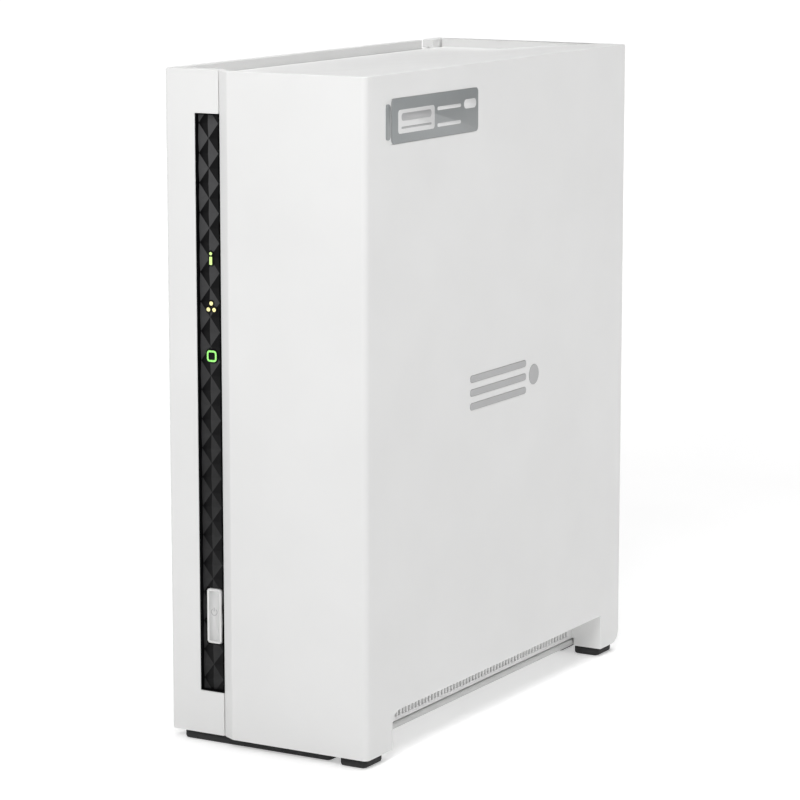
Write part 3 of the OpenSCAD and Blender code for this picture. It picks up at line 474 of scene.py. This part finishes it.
WHITE = (0.83, 0.83, 0.825)
MATERIALS = {
    "shell_white": moulded_plastic("shell_white", WHITE, 0.42),
    "panel_white": moulded_plastic("panel_white", (0.8, 0.8, 0.79), 0.5, 0.35 * MM, 0.008 * MM),
    "tray_white": moulded_plastic("tray_white", (0.74, 0.74, 0.735), 0.5, 0.35 * MM, 0.008 * MM),
    "button_white": moulded_plastic("button_white", (0.82, 0.82, 0.81), 0.32, 0.2 * MM, 0.002 * MM),
    "button_face": moulded_plastic("button_face", (0.7, 0.7, 0.695), 0.4, 0.2 * MM, 0.003 * MM),
    # The third strip tone is a lighter copy of the strip's black that paints light on the facets that
    # face right, and painted shade darkens it towards the foot
    "strip_black": satin_facet("strip_black", (0.005, 0.005, 0.0055), 0.4, 0.12),
    "strip_dark": satin_facet("strip_dark", (0.0035, 0.0035, 0.004), 0.6, 0.04),
    "strip_lit_facet": satin_facet("strip_lit_facet", (0.07, 0.07, 0.072), 0.5, 0.2, 0.3),
    "lens_status": lit_lens("lens_status", (0.62, 0.82, 0.3), (0.48, 0.7, 0.2), 0.6),
    "lens_network": lit_lens("lens_network", (0.86, 0.82, 0.42), (0.74, 0.66, 0.26), 0.6),
    "lens_drive": lit_lens("lens_drive", (0.36, 0.86, 0.22), (0.2, 0.66, 0.12), 0.6),
    "board_green": circuit_board("board_green", (0.008, 0.09, 0.04), (0.03, 0.2, 0.09)),
    "board_blue": circuit_board("board_blue", (0.006, 0.05, 0.1), (0.02, 0.13, 0.22)),
    "lamp_clear": moulded_plastic("lamp_clear", (0.8, 0.8, 0.7), 0.2, 0.5 * MM, 0.001 * MM),
    "part_black": moulded_plastic("part_black", (0.018, 0.018, 0.02), 0.45, 0.3 * MM, 0.01 * MM, 0.2),
    "part_ivory": moulded_plastic("part_ivory", (0.72, 0.69, 0.6), 0.45, 0.3 * MM, 0.006 * MM, 0.04),
    "chip_black": chip_epoxy("chip_black", (0.02, 0.02, 0.022)),
    "tin_bright": brushed_metal("tin_bright", (0.78, 0.78, 0.79), 0.24, (1, 40, 1)),
    "zinc_steel": brushed_metal("zinc_steel", (0.62, 0.64, 0.66), 0.34, (1, 6, 1), 0.003 * MM, 0.2),
    "screw_steel": brushed_metal("screw_steel", (0.66, 0.66, 0.68), 0.26, (6, 1, 6), 0.003 * MM, 0.2),
    "cast_alloy": cast_metal("cast_alloy", (0.56, 0.57, 0.58), 0.42),
    "fin_alloy": brushed_metal("fin_alloy", (0.72, 0.73, 0.75), 0.32, (1, 1, 30)),
    "disk_mirror": brushed_metal("disk_mirror", (0.86, 0.86, 0.88), 0.06, (1, 1, 1), 0.0002 * MM, 0.0),
    "coil_copper": wound_wire("coil_copper", (0.75, 0.36, 0.16)),
    "can_blue": sleeved_can("can_blue", (0.06, 0.09, 0.3)),
    "foot_rubber": rubber("foot_rubber", (0.022, 0.022, 0.023)),
    "label_grey": moulded_plastic("label_grey", (0.31, 0.325, 0.33), 0.4, 0.15 * MM, 0.003 * MM, 0.03),
    "label_light": moulded_plastic("label_light", (0.78, 0.78, 0.78), 0.4, 0.15 * MM, 0.003 * MM),
    "mark_grey": moulded_plastic("mark_grey", (0.44, 0.44, 0.445), 0.38, 0.15 * MM, 0.002 * MM, 0.02),
}

BODY_OF = {
    node: body
    for body, members in frame["record"]["behaviour"]["bodies"].items()
    for node in members
}


# Parts whose CAD shape is right: the same surface with its edges rounded ------------------------

FINE = 0.12 * MM
EDGE_ROUNDING = {
    "left_shell": 0.35 * MM, "side_cover": 0.35 * MM, "rear_panel": 0.15 * MM, "base_tray": 0.2 * MM,
    "front_board": FINE, "indicator_lamps": FINE, "power_switch": FINE, "mainboard": FINE,
    "processor": FINE, "heat_sink": 0.15 * MM, "memory_chips": FINE, "flash_chip": FINE,
    "coin_cell": 0.2 * MM, "cell_holder": FINE, "bracket_spacers": 0.2 * MM, "capacitors": 0.4 * MM,
    "riser_slot": 0.2 * MM, "riser_board": FINE, "drive_socket": 0.2 * MM, "network_socket": FINE,
    "usb_sockets": FINE, "power_inlet": 0.2 * MM, "reset_switch": FINE,
    "drive_bracket": 0.2 * MM, "drive_base": 0.25 * MM,
    "drive_lid": 0.25 * MM, "drive_circuit": FINE, "drive_plug": 0.2 * MM, "coil_magnets": 0.3 * MM,
    "fan_frame": 0.05 * MM, "fan_screws": FINE, "board_screws": FINE, "bracket_screws": FINE,
    "drive_screws": 0.3 * MM, "panel_screws": FINE, "base_screws": 0.2 * MM, "cover_screws": FINE,
    "reset_button": 0.2 * MM, "fan_rotor": 0.15 * MM, "drive_disks": 0.1 * MM, "drive_hub": 0.2 * MM,
    "disk_clamp": 0.2 * MM, "head_arm": 0.15 * MM, "arm_coil": 0.3 * MM,
}


def slot_of(node):
    """Name of the material slot that a CAD node has."""
    return frame["nodes"][node].material_slots[0].material.name


def round_edges_of(node, width):
    surface = joined_faces(node)
    piece = make_piece(node + "_finish", surface, BODY_OF[node], slot_of(node), [node])
    soften(piece, width)


for node, width in EDGE_ROUNDING.items():
    round_edges_of(node, width)


# Small components on the mainboard ---------------------------------------------------------------

# Length, width and height of each kind, in millimetres
CHIP_SIZES = ((1.0, 0.5, 0.4), (1.6, 0.8, 0.5), (2.0, 1.2, 0.7), (3.2, 1.6, 1.0), (4.0, 3.6, 1.0))
CHIP_SEED = 11
CHIP_TRIES = 420
CHIP_GRID = 0.5 * MM
# Room round each place: to the larger parts, to the next place and to the board screws
CHIP_CLEARANCE = 2.6 * MM
CHIP_PITCH = 1.3 * CHIP_CLEARANCE
SCREW_CORNER = 9 * MM
# Depth of a body's foot inside the board, chamfer of its top and radius of its corners
CHIP_ROOT = 0.1 * MM
CHIP_EDGE = 0.06 * MM
CHIP_CORNER = 0.05 * MM
# Tinned ends: share of the length, how much wider and higher than the body they are, and their edges
END_SHARE = 0.25
END_WRAP = 0.06 * MM
END_RISE = 0.05 * MM
END_EDGE = 0.04 * MM
BOARD_NEIGHBOURS = (
    "processor", "heat_sink", "memory_chips", "flash_chip", "cell_holder", "capacitors", "riser_slot",
    "riser_board", "network_socket", "usb_sockets", "power_inlet", "reset_switch",
)


def near_screw(y, z):
    """Whether a place is close to a screw; they stand at the corners of their shared box."""
    lo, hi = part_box("board_screws")
    beside_y = min(abs(y - lo.y), abs(y - hi.y)) < SCREW_CORNER
    return beside_y and min(abs(z - lo.z), abs(z - hi.z)) < SCREW_CORNER


def near_part(box, y, z):
    """Whether a place is on a part's box or closer to it than the clearance."""
    lo, hi = box
    reach = CHIP_CLEARANCE
    return lo.y - reach < y < hi.y + reach and lo.z - reach < z < hi.z + reach


def free_places():
    """Seeded places, on a grid, that keep clear of the larger parts, the screws and each other."""
    lo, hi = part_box("mainboard")
    taken = [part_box(node) for node in BOARD_NEIGHBOURS]
    dice = random.Random(CHIP_SEED)
    places = []
    for _ in range(CHIP_TRIES):
        long_side, short_side, rise = (side * MM for side in dice.choice(CHIP_SIZES))
        w, h = (long_side, short_side) if dice.random() < 0.5 else (short_side, long_side)
        y = CHIP_GRID * round(dice.uniform(lo.y, hi.y) / CHIP_GRID)
        z = CHIP_GRID * round(dice.uniform(lo.z, hi.z) / CHIP_GRID)
        if min(y - lo.y, hi.y - y, z - lo.z, hi.z - z) < CHIP_CLEARANCE:
            continue
        if near_screw(y, z) or any(near_part(box, y, z) for box in taken):
            continue
        if any(abs(y - p[0]) < CHIP_PITCH and abs(z - p[1]) < CHIP_PITCH for p in places):
            continue
        places.append((y, z, w, h, rise))
    return places


def small_components():
    """Resistors, capacitors and coils: a dark body between two tinned ends."""
    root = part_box("mainboard")[1].x - CHIP_ROOT
    bodies, ends = [], []
    for y, z, w, h, rise in free_places():
        top = [(0, 0), (0, rise), (CHIP_EDGE, rise + CHIP_EDGE)]
        bodies.append(raised(facing_right, w, h, CHIP_CORNER, (root, y, z), 1, top, 1))
        end_rise = rise + END_RISE
        end_top = [(0, 0), (0, end_rise), (END_EDGE, end_rise + END_EDGE)]
        length = max(w, h)
        cap = END_SHARE * length
        for side in (-1, 1):
            shift = side * (length - cap) / 2
            if w > h:
                size, centre = (cap, h + END_WRAP), (root, y + shift, z)
            else:
                size, centre = (w + END_WRAP, cap), (root, y, z + shift)
            ends.append(raised(facing_right, *size, END_EDGE, centre, 1, end_top, 1))
    make_piece("small_component_bodies", merged(bodies), "chassis", "chip_black")
    make_piece("small_component_ends", merged(ends), "chassis", "tin_bright")


small_components()


# Patterned strip ---------------------------------------------------------------------------------

strip_lo, strip_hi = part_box("front_strip")
# Wall of the recess that stays free round the relief, and the rounding of its edges
LINER = 0.3 * MM
LINER_EDGE = 0.08 * MM
# Each pyramid: its height, half its width and how far its tip stands out
DIAMOND_H = 8.303 * MM
DIAMOND_HALF_W = 3.2 * MM
DIAMOND_RISE = 0.3 * MM
# Corners of neighbouring pyramids closer than this are one
DIAMOND_MERGE = 0.01 * MM
PATTERN_X = strip_lo.x + LINER + DIAMOND_HALF_W
TOP_DIAMOND_Z = strip_hi.z - 2.75 * MM
VALLEY_Y = strip_hi.y - 1.6 * MM
RELIEF_BACK_Y = strip_hi.y - 0.4 * MM
# Opening round the power button, and the least that is left of the relief beside it
KEY_GAP = 0.3 * MM
KEY_WALL = 0.1 * MM


def cut_planes(mesh, planes, clear):
    """Cuts the whole mesh along (point, normal) planes, and may clear what lies beyond them."""
    for point, normal in planes:
        everything = mesh.verts[:] + mesh.edges[:] + mesh.faces[:]
        bmesh.ops.bisect_plane(
            mesh, geom=everything, plane_co=point, plane_no=normal, clear_outer=clear
        )


def box_planes(x0, x1, z0, z1):
    """The four planes round a rectangle in X and Z, each as (point, outward normal)."""
    sides = ((x0, 0, 0), (-1, 0, 0)), ((x1, 0, 0), (1, 0, 0))
    ends = ((0, 0, z0), (0, 0, -1)), ((0, 0, z1), (0, 0, 1))
    return sides + ends


def pyramid(mesh, x, z):
    """Four faces from a diamond in the valley plane to a low tip."""
    tip = mesh.verts.new((x, VALLEY_Y - DIAMOND_RISE, z))
    ring = [
        mesh.verts.new((x + dx * DIAMOND_HALF_W, VALLEY_Y, z + dz * DIAMOND_H / 2))
        for dx, dz in ((1, 0), (0, 1), (-1, 0), (0, -1))
    ]
    for i in range(4):
        mesh.faces.new([ring[i], ring[(i + 1) % 4], tip])


def open_for_button(mesh, right_edge):
    """Cuts the power button's opening out of the relief."""
    lo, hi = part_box("power_button")
    x0, x1 = lo.x - KEY_GAP, min(hi.x + KEY_GAP, right_edge - KEY_WALL)
    z0, z1 = lo.z - KEY_GAP, hi.z + KEY_GAP
    cut_planes(mesh, box_planes(x0, x1, z0, z1), False)
    centres = [(face, face.calc_center_median()) for face in mesh.faces]
    inside = [face for face, c in centres if x0 < c.x < x1 and z0 < c.z < z1]
    bmesh.ops.delete(mesh, geom=inside, context="FACES")


def strip_relief():
    """Field of low pyramids in three columns, trimmed to the recess, with the button's opening."""
    x0, x1 = PATTERN_X - DIAMOND_HALF_W, PATTERN_X + DIAMOND_HALF_W
    z0, z1 = strip_lo.z + LINER, strip_hi.z - LINER
    rows = math.ceil((z1 - z0) / DIAMOND_H) + 1
    mesh = bmesh.new()
    for column in (-1, 0, 1):
        for row in range(-1, rows + 1):
            z = TOP_DIAMOND_Z - (row + 0.5 * abs(column)) * DIAMOND_H
            pyramid(mesh, PATTERN_X + column * DIAMOND_HALF_W, z)
    bmesh.ops.remove_doubles(mesh, verts=mesh.verts, dist=DIAMOND_MERGE)
    cut_planes(mesh, box_planes(x0, x1, z0, z1), True)
    open_for_button(mesh, x1)
    bmesh.ops.recalc_face_normals(mesh, faces=mesh.faces)
    for face in mesh.faces:
        if face.normal.y > 0:
            face.normal_flip()
        # Facets that face right get the lighter tone, painted light; the others keep the black
        face.material_index = 1 if face.normal.x > 0 else 0
    rim = [e for e in mesh.edges if e.is_boundary]
    skirt = bmesh.ops.extrude_edge_only(mesh, edges=rim)["geom"]
    for v in (g for g in skirt if isinstance(g, bmesh.types.BMVert)):
        v.co.y = RELIEF_BACK_Y
    bmesh.ops.bridge_loops(mesh, edges=[e for e in mesh.edges if e.is_boundary])
    return mesh


def flat_shaded(piece):
    for polygon in piece.data.polygons:
        polygon.use_smooth = False


# The strip's black and its lighter copy, which paints light on the facets that face right
shaded_and_lit_facets = ["strip_black", "strip_lit_facet"]
flat_shaded(make_piece("strip_relief", strip_relief(), "chassis", "strip_black", looks=shaded_and_lit_facets))

recess = joined_faces("front_strip")
liner = make_piece("strip_frame", recess, "chassis", "strip_black", ["front_strip"], ["strip_dark"])
soften(liner, LINER_EDGE)


# Indicator lenses --------------------------------------------------------------------------------

LENS_FACE_Y = VALLEY_Y - DIAMOND_RISE - 0.1 * MM
LENS_BACK_Y = strip_hi.y - 0.2 * MM
# Rounding of a lens, and the share of it that forms the shoulder
LENS_EDGE = 0.12 * MM
LENS_SHOULDER = 0.3
# Black surround of a lens
PAD_FACE_Y = VALLEY_Y - DIAMOND_RISE - 0.02 * MM
HALO = 0.4 * MM
# Status mark: a dot above a bar of the same width
MARK_W = 0.95 * MM
MARK_DOT_RADIUS = 0.45 * MM
MARK_DOT_LIFT = 1.4 * MM
MARK_BAR_H = 2.3 * MM
MARK_BAR_RADIUS = 0.2 * MM
MARK_BAR_DROP = 0.6 * MM
# Network mark: one dot above two
NETWORK_DOT = 1.2 * MM
NETWORK_DOT_RADIUS = 0.49 * NETWORK_DOT
NETWORK_PLACES = ((0, 0.95 * MM), (-0.95 * MM, -0.8 * MM), (0.95 * MM, -0.8 * MM))
# Drive mark: a square ring with round corners
RING_SIDE = 3.3 * MM
RING_RADIUS = 0.95 * MM
RING_BAND = 0.62 * MM


def lens_centre(node):
    """Middle of a CAD node in X and Z."""
    lo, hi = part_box(node)
    return (lo.x + hi.x) / 2, (lo.z + hi.z) / 2


def boss(x, z, w, h, r, face_y, grow=0.0):
    """Rounded block that stands out of the strip to face_y."""
    depth = LENS_BACK_Y - face_y
    shoulder = LENS_SHOULDER * LENS_EDGE
    profile = [(0, 0), (0, depth - LENS_EDGE), (shoulder, depth - shoulder), (LENS_EDGE, depth)]
    outline = w + 2 * grow, h + 2 * grow, r + grow
    return raised(facing_front, *outline, (x, LENS_BACK_Y, z), -1, profile)


def status_shapes(x, z):
    """Place, width, height and corner radius of each lens of the mark."""
    dot = x, z + MARK_DOT_LIFT, MARK_W, MARK_W, MARK_DOT_RADIUS
    bar = x, z - MARK_BAR_DROP, MARK_W, MARK_BAR_H, MARK_BAR_RADIUS
    return [dot, bar]


def network_shapes(x, z):
    dot = NETWORK_DOT, NETWORK_DOT, NETWORK_DOT_RADIUS
    return [(x + dx, z + dz, *dot) for dx, dz in NETWORK_PLACES]


def lens_pieces(name, node, shapes):
    """Glowing lenses of one indicator, each in its black surround."""
    marks = shapes(*lens_centre(node))
    glow = merged([boss(*shape, LENS_FACE_Y) for shape in marks])
    make_piece(name + "_mark", glow, "chassis", slot_of(node), [node])
    pads = merged([boss(*shape, PAD_FACE_Y, HALO) for shape in marks])
    make_piece(name + "_surround", pads, "chassis", "strip_black")


def drive_lens_pieces():
    """Glowing ring, with its black surround showing inside it too."""
    x, z = lens_centre("drive_lens")
    profile = (
        (0, LENS_BACK_Y), (0, LENS_FACE_Y + LENS_EDGE), (LENS_EDGE, LENS_FACE_Y),
        (RING_BAND - LENS_EDGE, LENS_FACE_Y), (RING_BAND, LENS_FACE_Y + LENS_EDGE),
        (RING_BAND, LENS_BACK_Y),
    )
    rings = []
    for inset, y in profile:
        side = RING_SIDE - 2 * inset
        rings.append(facing_front(round_rect(side, side, RING_RADIUS - inset), x, y, z))
    make_piece("drive_mark", loft(rings, closed=True), "chassis", "lens_drive", ["drive_lens"])
    pad = boss(x, z, RING_SIDE, RING_SIDE, RING_RADIUS, PAD_FACE_Y, HALO)
    make_piece("drive_surround", pad, "chassis", "strip_black")


lens_pieces("status", "status_lens", status_shapes)
lens_pieces("network", "network_lens", network_shapes)
drive_lens_pieces()


# Power button ------------------------------------------------------------------------------------

key_lo, key_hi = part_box("power_button")
KEY_X = (key_lo.x + key_hi.x) / 2
KEY_Z = (key_lo.z + key_hi.z) / 2
KEY_W = key_hi.x - key_lo.x
KEY_H = key_hi.z - key_lo.z
KEY_DEPTH = 1.9 * MM
KEY_RADIUS = 1.0 * MM
KEY_BACK_Y = key_lo.y + KEY_DEPTH
# Section of the rim from its outer side to the hollow face: distance from the side and depth below
# the front, in millimetres
KEY_RIM = ((0, 0.35), (0.1, 0.12), (0.35, 0), (0.5, 0.03), (0.62, 0.2), (0.8, 0.24), (1.1, 0.24))
STEM_W = 3.2 * MM
STEM_H = 7.2 * MM
STEM_RADIUS = 0.3 * MM
STEM_OVERLAP = 0.2 * MM
# Grey face, as a thin plate inside the rim
FACE_Y = key_lo.y + 0.22 * MM
FACE_INSET = 0.65 * MM
FACE_RADIUS = 0.45 * MM
FACE_THICKNESS = 0.08 * MM
# Power symbol: a ring with a bar in its gap. SYMBOL_LINE is half the width of the line, and the
# section lists points across the line and up, as shares of SYMBOL_LINE and of SYMBOL_RISE
SYMBOL_Z = KEY_Z + 1.2 * MM
SYMBOL_RADIUS = 0.95 * MM
SYMBOL_RISE = 0.05 * MM
SYMBOL_ROOT = 0.02 * MM
SYMBOL_LINE = 0.13 * MM
SYMBOL_SECTION = ((-1, 0), (-0.6, 1), (0.6, 1), (1, 0))
SYMBOL_DEGREES = (125, 415)
SYMBOL_STEPS = 20
SYMBOL_BAR_H = 1.1 * MM
SYMBOL_BAR_RADIUS = 0.9 * SYMBOL_LINE
SYMBOL_BAR_LIFT = 0.75 * MM
SYMBOL_BAR_EDGE = 0.03 * MM


def key_body():
    """Long key with a raised rim, and the stem behind it."""
    rim = [(inset * MM, KEY_DEPTH - depth * MM) for inset, depth in KEY_RIM]
    centre = KEY_X, KEY_BACK_Y, KEY_Z
    key = raised(facing_front, KEY_W, KEY_H, KEY_RADIUS, centre, -1, [(0, 0)] + rim)
    stem_profile = [(0, 0), (0, key_hi.y - KEY_BACK_Y + STEM_OVERLAP)]
    stem_root = KEY_X, key_hi.y, KEY_Z
    stem = raised(facing_front, STEM_W, STEM_H, STEM_RADIUS, stem_root, -1, stem_profile)
    make_piece("power_key", merged([key, stem]), "power_key", "button_white", ["power_button"])


def key_field():
    """Slightly greyer face inside the rim."""
    w, h = KEY_W - 2 * FACE_INSET, KEY_H - 2 * FACE_INSET
    root = KEY_X, FACE_Y + FACE_THICKNESS, KEY_Z
    field = raised(facing_front, w, h, FACE_RADIUS, root, -1, [(0, 0), (0, FACE_THICKNESS)])
    make_piece("power_field", field, "power_key", "button_white", looks=["button_face"])


def key_symbol():
    """Plain power symbol on the face."""
    root_y = FACE_Y + SYMBOL_ROOT
    rings = []
    for u, v in arc(0, 0, 1, *SYMBOL_DEGREES, SYMBOL_STEPS):
        ring = []
        for across, up in SYMBOL_SECTION:
            r = SYMBOL_RADIUS + across * SYMBOL_LINE
            ring.append((KEY_X + u * r, root_y - up * SYMBOL_RISE, SYMBOL_Z + v * r))
        rings.append(ring)
    bar_root = KEY_X, root_y, SYMBOL_Z + SYMBOL_BAR_LIFT
    bar_profile = [(0, 0), (SYMBOL_BAR_EDGE, SYMBOL_RISE + SYMBOL_ROOT)]
    bar_w = 2 * SYMBOL_LINE
    bar = raised(facing_front, bar_w, SYMBOL_BAR_H, SYMBOL_BAR_RADIUS, bar_root, -1, bar_profile)
    symbol = merged([loft(rings), bar])
    make_piece("power_symbol", symbol, "power_key", "label_grey", looks=["mark_grey"])


key_body()
key_field()
key_symbol()


# Feet --------------------------------------------------------------------------------------------

FOOT_RADIUS = 1.5 * MM
FOOT_EDGE = 0.7 * MM
FOOT_SHOULDER = 0.2 * MM
# Hollow under the foot: where the rim round it ends, where its floor starts, and its depth
HOLLOW_RIM = 1.2 * MM
HOLLOW_FLOOR = 1.4 * MM
HOLLOW_DEPTH = 0.3 * MM
COVER_FOOT_LENGTH = 10.2 * MM


def rubber_foot(lo, hi):
    """Rubber pad with a rounded lower edge and a shallow hollow underneath."""
    centre = ((lo.x + hi.x) / 2, (lo.y + hi.y) / 2, hi.z)
    h = hi.z - lo.z
    side = [(0, 0), (0, h - FOOT_EDGE), (FOOT_SHOULDER, h - FOOT_SHOULDER), (FOOT_EDGE, h)]
    hollow = [(HOLLOW_RIM, h), (HOLLOW_FLOOR, h - HOLLOW_DEPTH)]
    return raised(facing_down, hi.x - lo.x, hi.y - lo.y, FOOT_RADIUS, centre, -1, side + hollow)


def foot_piece(node, mesh):
    make_piece(node + "_rubber", mesh, BODY_OF[node], "foot_rubber", [node])


def cover_feet():
    """The two feet of the cover, which are one CAD node."""
    lo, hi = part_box("cover_feet")
    front = rubber_foot(lo, Vector((hi.x, lo.y + COVER_FOOT_LENGTH, hi.z)))
    rear = rubber_foot(Vector((lo.x, hi.y - COVER_FOOT_LENGTH, lo.z)), hi)
    return merged([front, rear])


for node in ("front_foot_bar", "rear_foot_bar"):
    foot_piece(node, rubber_foot(*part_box(node)))
foot_piece("cover_feet", cover_feet())


# Label and mark ----------------------------------------------------------------------------------

# Each layer of printing stands this far out of the one below
PRINT_STEP = 0.01 * MM
PLATE_EDGE = 0.06 * MM
# Slot between the label's short end and its long plate
SPLIT_FROM_END = 2.9 * MM
SPLIT_W = 0.7 * MM
LONG_RADIUS = 1.2 * MM
SHORT_RADIUS = 1.1 * MM
SHORT_LOWER_BY = 2.6 * MM
# Width, height and corner radius, then the middle's distance from the label's front end and from its
# middle height, in millimetres
LIGHT_PLATES = (
    (20.2, 6.6, 1.0, 16.5, -0.3),
    (13.5, 1.1, 0.5, 34.8, 1.8),
    (13.5, 1.1, 0.5, 34.8, -2.8),
    (7.2, 2.7, 1.3, 46.8, 1.9),
)
GREY_PLATES = (
    (16.6, 2.2, 1.0, 16.5, 0.9),
    (16.6, 0.7, 0.3, 16.5, -2.0),
)
SIDE_MARK_EDGE = 0.05 * MM


def flat_plate(w, h, r, y, z, x_back, x_face):
    """Thin plate that faces right, with its front edges broken."""
    t = x_face - x_back
    profile = [(0, 0), (0, t - PLATE_EDGE), (PLATE_EDGE, t)]
    return raised(facing_right, w, h, r, (x_back, y, z), 1, profile)


def label_plates(sizes, x_face):
    """Plates from the back of the label to x_face."""
    lo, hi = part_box("label_plate")
    middle = (lo.z + hi.z) / 2
    return merged([
        flat_plate(w * MM, h * MM, r * MM, lo.y + y * MM, middle + z * MM, lo.x, x_face)
        for w, h, r, y, z in sizes
    ])


def label():
    """Grey plate with a blank light field and plain bars where printing would be."""
    lo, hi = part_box("label_plate")
    h, middle = hi.z - lo.z, (lo.z + hi.z) / 2
    split_y = lo.y + SPLIT_FROM_END
    long_w = hi.y - split_y - SPLIT_W / 2
    short_w = split_y - SPLIT_W / 2 - lo.y
    light_face = hi.x - PRINT_STEP
    plate_face = light_face - PRINT_STEP
    long_y, short_y = hi.y - long_w / 2, lo.y + short_w / 2
    main = flat_plate(long_w, h, LONG_RADIUS, long_y, middle, lo.x, plate_face)
    end = flat_plate(short_w, h - SHORT_LOWER_BY, SHORT_RADIUS, short_y, middle, lo.x, plate_face)
    make_piece("label_plate_print", merged([main, end]), "cover", "label_grey", ["label_plate"])
    fields = label_plates(LIGHT_PLATES, light_face)
    make_piece("label_fields", fields, "cover", "label_grey", looks=["label_light"])
    lines = label_plates(GREY_PLATES, hi.x)
    make_piece("label_lines", lines, "cover", "label_grey", looks=["mark_grey"])


def side_mark():
    """Plain mark of three bars and a dot."""
    surface = joined_faces("side_mark")
    piece = make_piece("side_mark_print", surface, "cover", "mark_grey", ["side_mark"])
    soften(piece, SIDE_MARK_EDGE)


label()
side_mark()


# Floor, camera and lights ------------------------------------------------------------------------

WHITE_LIGHT = (1, 1, 1, 1)
FLOOR_RADIUS = 12
FLOOR_SIDES = 96
FLOOR_TONE = (0.86, 0.86, 0.86)
FLOOR_DARK = (0.85, 0.85, 0.85)
FLOOR_LIGHT = (0.87, 0.87, 0.87)
FLOOR_ROUGHNESS = 0.9
# The floor's glow grows from GLOW_NEAR to GLOW_FAR between two distances from the object's axis
GLOW_START = 0.35
GLOW_END = 1.4
GLOW_NEAR = 0.36
GLOW_FAR = 1.0


def floor():
    """Wide round floor, plain and pale, that turns white away from the object."""
    mesh = bmesh.new()
    bmesh.ops.create_circle(mesh, cap_ends=True, segments=FLOOR_SIDES, radius=FLOOR_RADIUS)
    data = bpy.data.meshes.new("floor")
    mesh.to_mesh(data)
    mesh.free()
    f = Finish("floor_pale", FLOOR_TONE, FLOOR_ROUGHNESS)
    f.set("Specular IOR Level", 0.0)
    f.set("Emission Color", WHITE_LIGHT)
    away = f.nodes.new("ShaderNodeVectorMath")
    away.operation = "LENGTH"
    f.links.new(f.place, away.inputs[0])
    glow = f.spread(away.outputs["Value"], GLOW_NEAR, GLOW_FAR, (GLOW_START, GLOW_END))
    f.connect(glow, "Emission Strength")
    cloud = f.spread(f.noise(60 * MM, 3.0), 0, 1)
    f.connect(f.blend(cloud, FLOOR_DARK, FLOOR_LIGHT), "Base Color")
    data.materials.append(f.material)
    piece = bpy.data.objects.new("floor", data)
    bpy.context.scene.collection.objects.link(piece)


floor()

# Angles in radians; the lens and the sensor in Blender's millimetres
CAMERA_YAW = 0.525
CAMERA_PITCH = 0.175
CAMERA_DISTANCE = 0.95074
CAMERA_LENS = 144.23
CAMERA_SENSOR = 36
CAMERA_CLIP = (0.02, 60)
# The camera looks at the object's axis at this height, moved by CAMERA_AIM to the camera's own right
# and up
AIM_HEIGHT = 95 * MM
CAMERA_AIM = (-1.494 * MM, -5.753 * MM)


def camera():
    """Long lens from the front right, a little above the object."""
    flat = math.cos(CAMERA_PITCH)
    sine, cosine = math.sin(CAMERA_YAW), math.cos(CAMERA_YAW)
    look = Vector((-sine * flat, cosine * flat, -math.sin(CAMERA_PITCH)))
    right = Vector((cosine, sine, 0))
    up = right.cross(look)
    aim = Vector((0, 0, AIM_HEIGHT)) + right * CAMERA_AIM[0] + up * CAMERA_AIM[1]
    data = bpy.data.cameras.new("camera")
    data.lens = CAMERA_LENS
    data.sensor_width = CAMERA_SENSOR
    data.clip_start, data.clip_end = CAMERA_CLIP
    eye = bpy.data.objects.new("camera", data)
    eye.location = aim - look * CAMERA_DISTANCE
    eye.rotation_euler = look.to_track_quat("-Z", "Y").to_euler()
    bpy.context.scene.collection.objects.link(eye)
    bpy.context.scene.camera = eye


camera()


# Name, place and side of each light in metres, and its power in watts
SOFT_BOXES = (
    ("front_light", (0.14, -0.52, 0.54), 0.36, 2.2),
    ("rear_light", (0.4, 0.42, 0.06), 0.25, 0.3),
    ("top_light", (0.08, 0.12, 1.0), 0.7, 6.0),
    ("left_fill", (-1.2, 0.35, 0.5), 0.8, 3.5),
)
AMBIENT = 0.1


def soft_box(name, position, size, power):
    """Square area light that faces the middle of the object."""
    data = bpy.data.lights.new(name, "AREA")
    data.shape = "SQUARE"
    data.size = size
    data.energy = power
    light = bpy.data.objects.new(name, data)
    light.location = position
    aim = Vector((0, 0, AIM_HEIGHT)) - Vector(position)
    light.rotation_euler = aim.to_track_quat("-Z", "Y").to_euler()
    light.visible_camera = False
    bpy.context.scene.collection.objects.link(light)


def world():
    """Even dim surroundings; seen directly they are white."""
    made = bpy.data.worlds.new("studio")
    made.use_nodes = True
    nodes, links = made.node_tree.nodes, made.node_tree.links
    backdrop = nodes["Background"]
    backdrop.inputs["Color"].default_value = WHITE_LIGHT
    backdrop.inputs["Strength"].default_value = 1.0
    ambient = nodes.new("ShaderNodeBackground")
    ambient.inputs["Color"].default_value = WHITE_LIGHT
    ambient.inputs["Strength"].default_value = AMBIENT
    path = nodes.new("ShaderNodeLightPath")
    mix = nodes.new("ShaderNodeMixShader")
    links.new(path.outputs["Is Camera Ray"], mix.inputs["Fac"])
    links.new(ambient.outputs["Background"], mix.inputs[1])
    links.new(backdrop.outputs["Background"], mix.inputs[2])
    links.new(mix.outputs["Shader"], nodes["World Output"].inputs["Surface"])
    bpy.context.scene.world = made


world()
for values in SOFT_BOXES:
    soft_box(*values)
bpy.context.scene.view_settings.view_transform = "Standard"
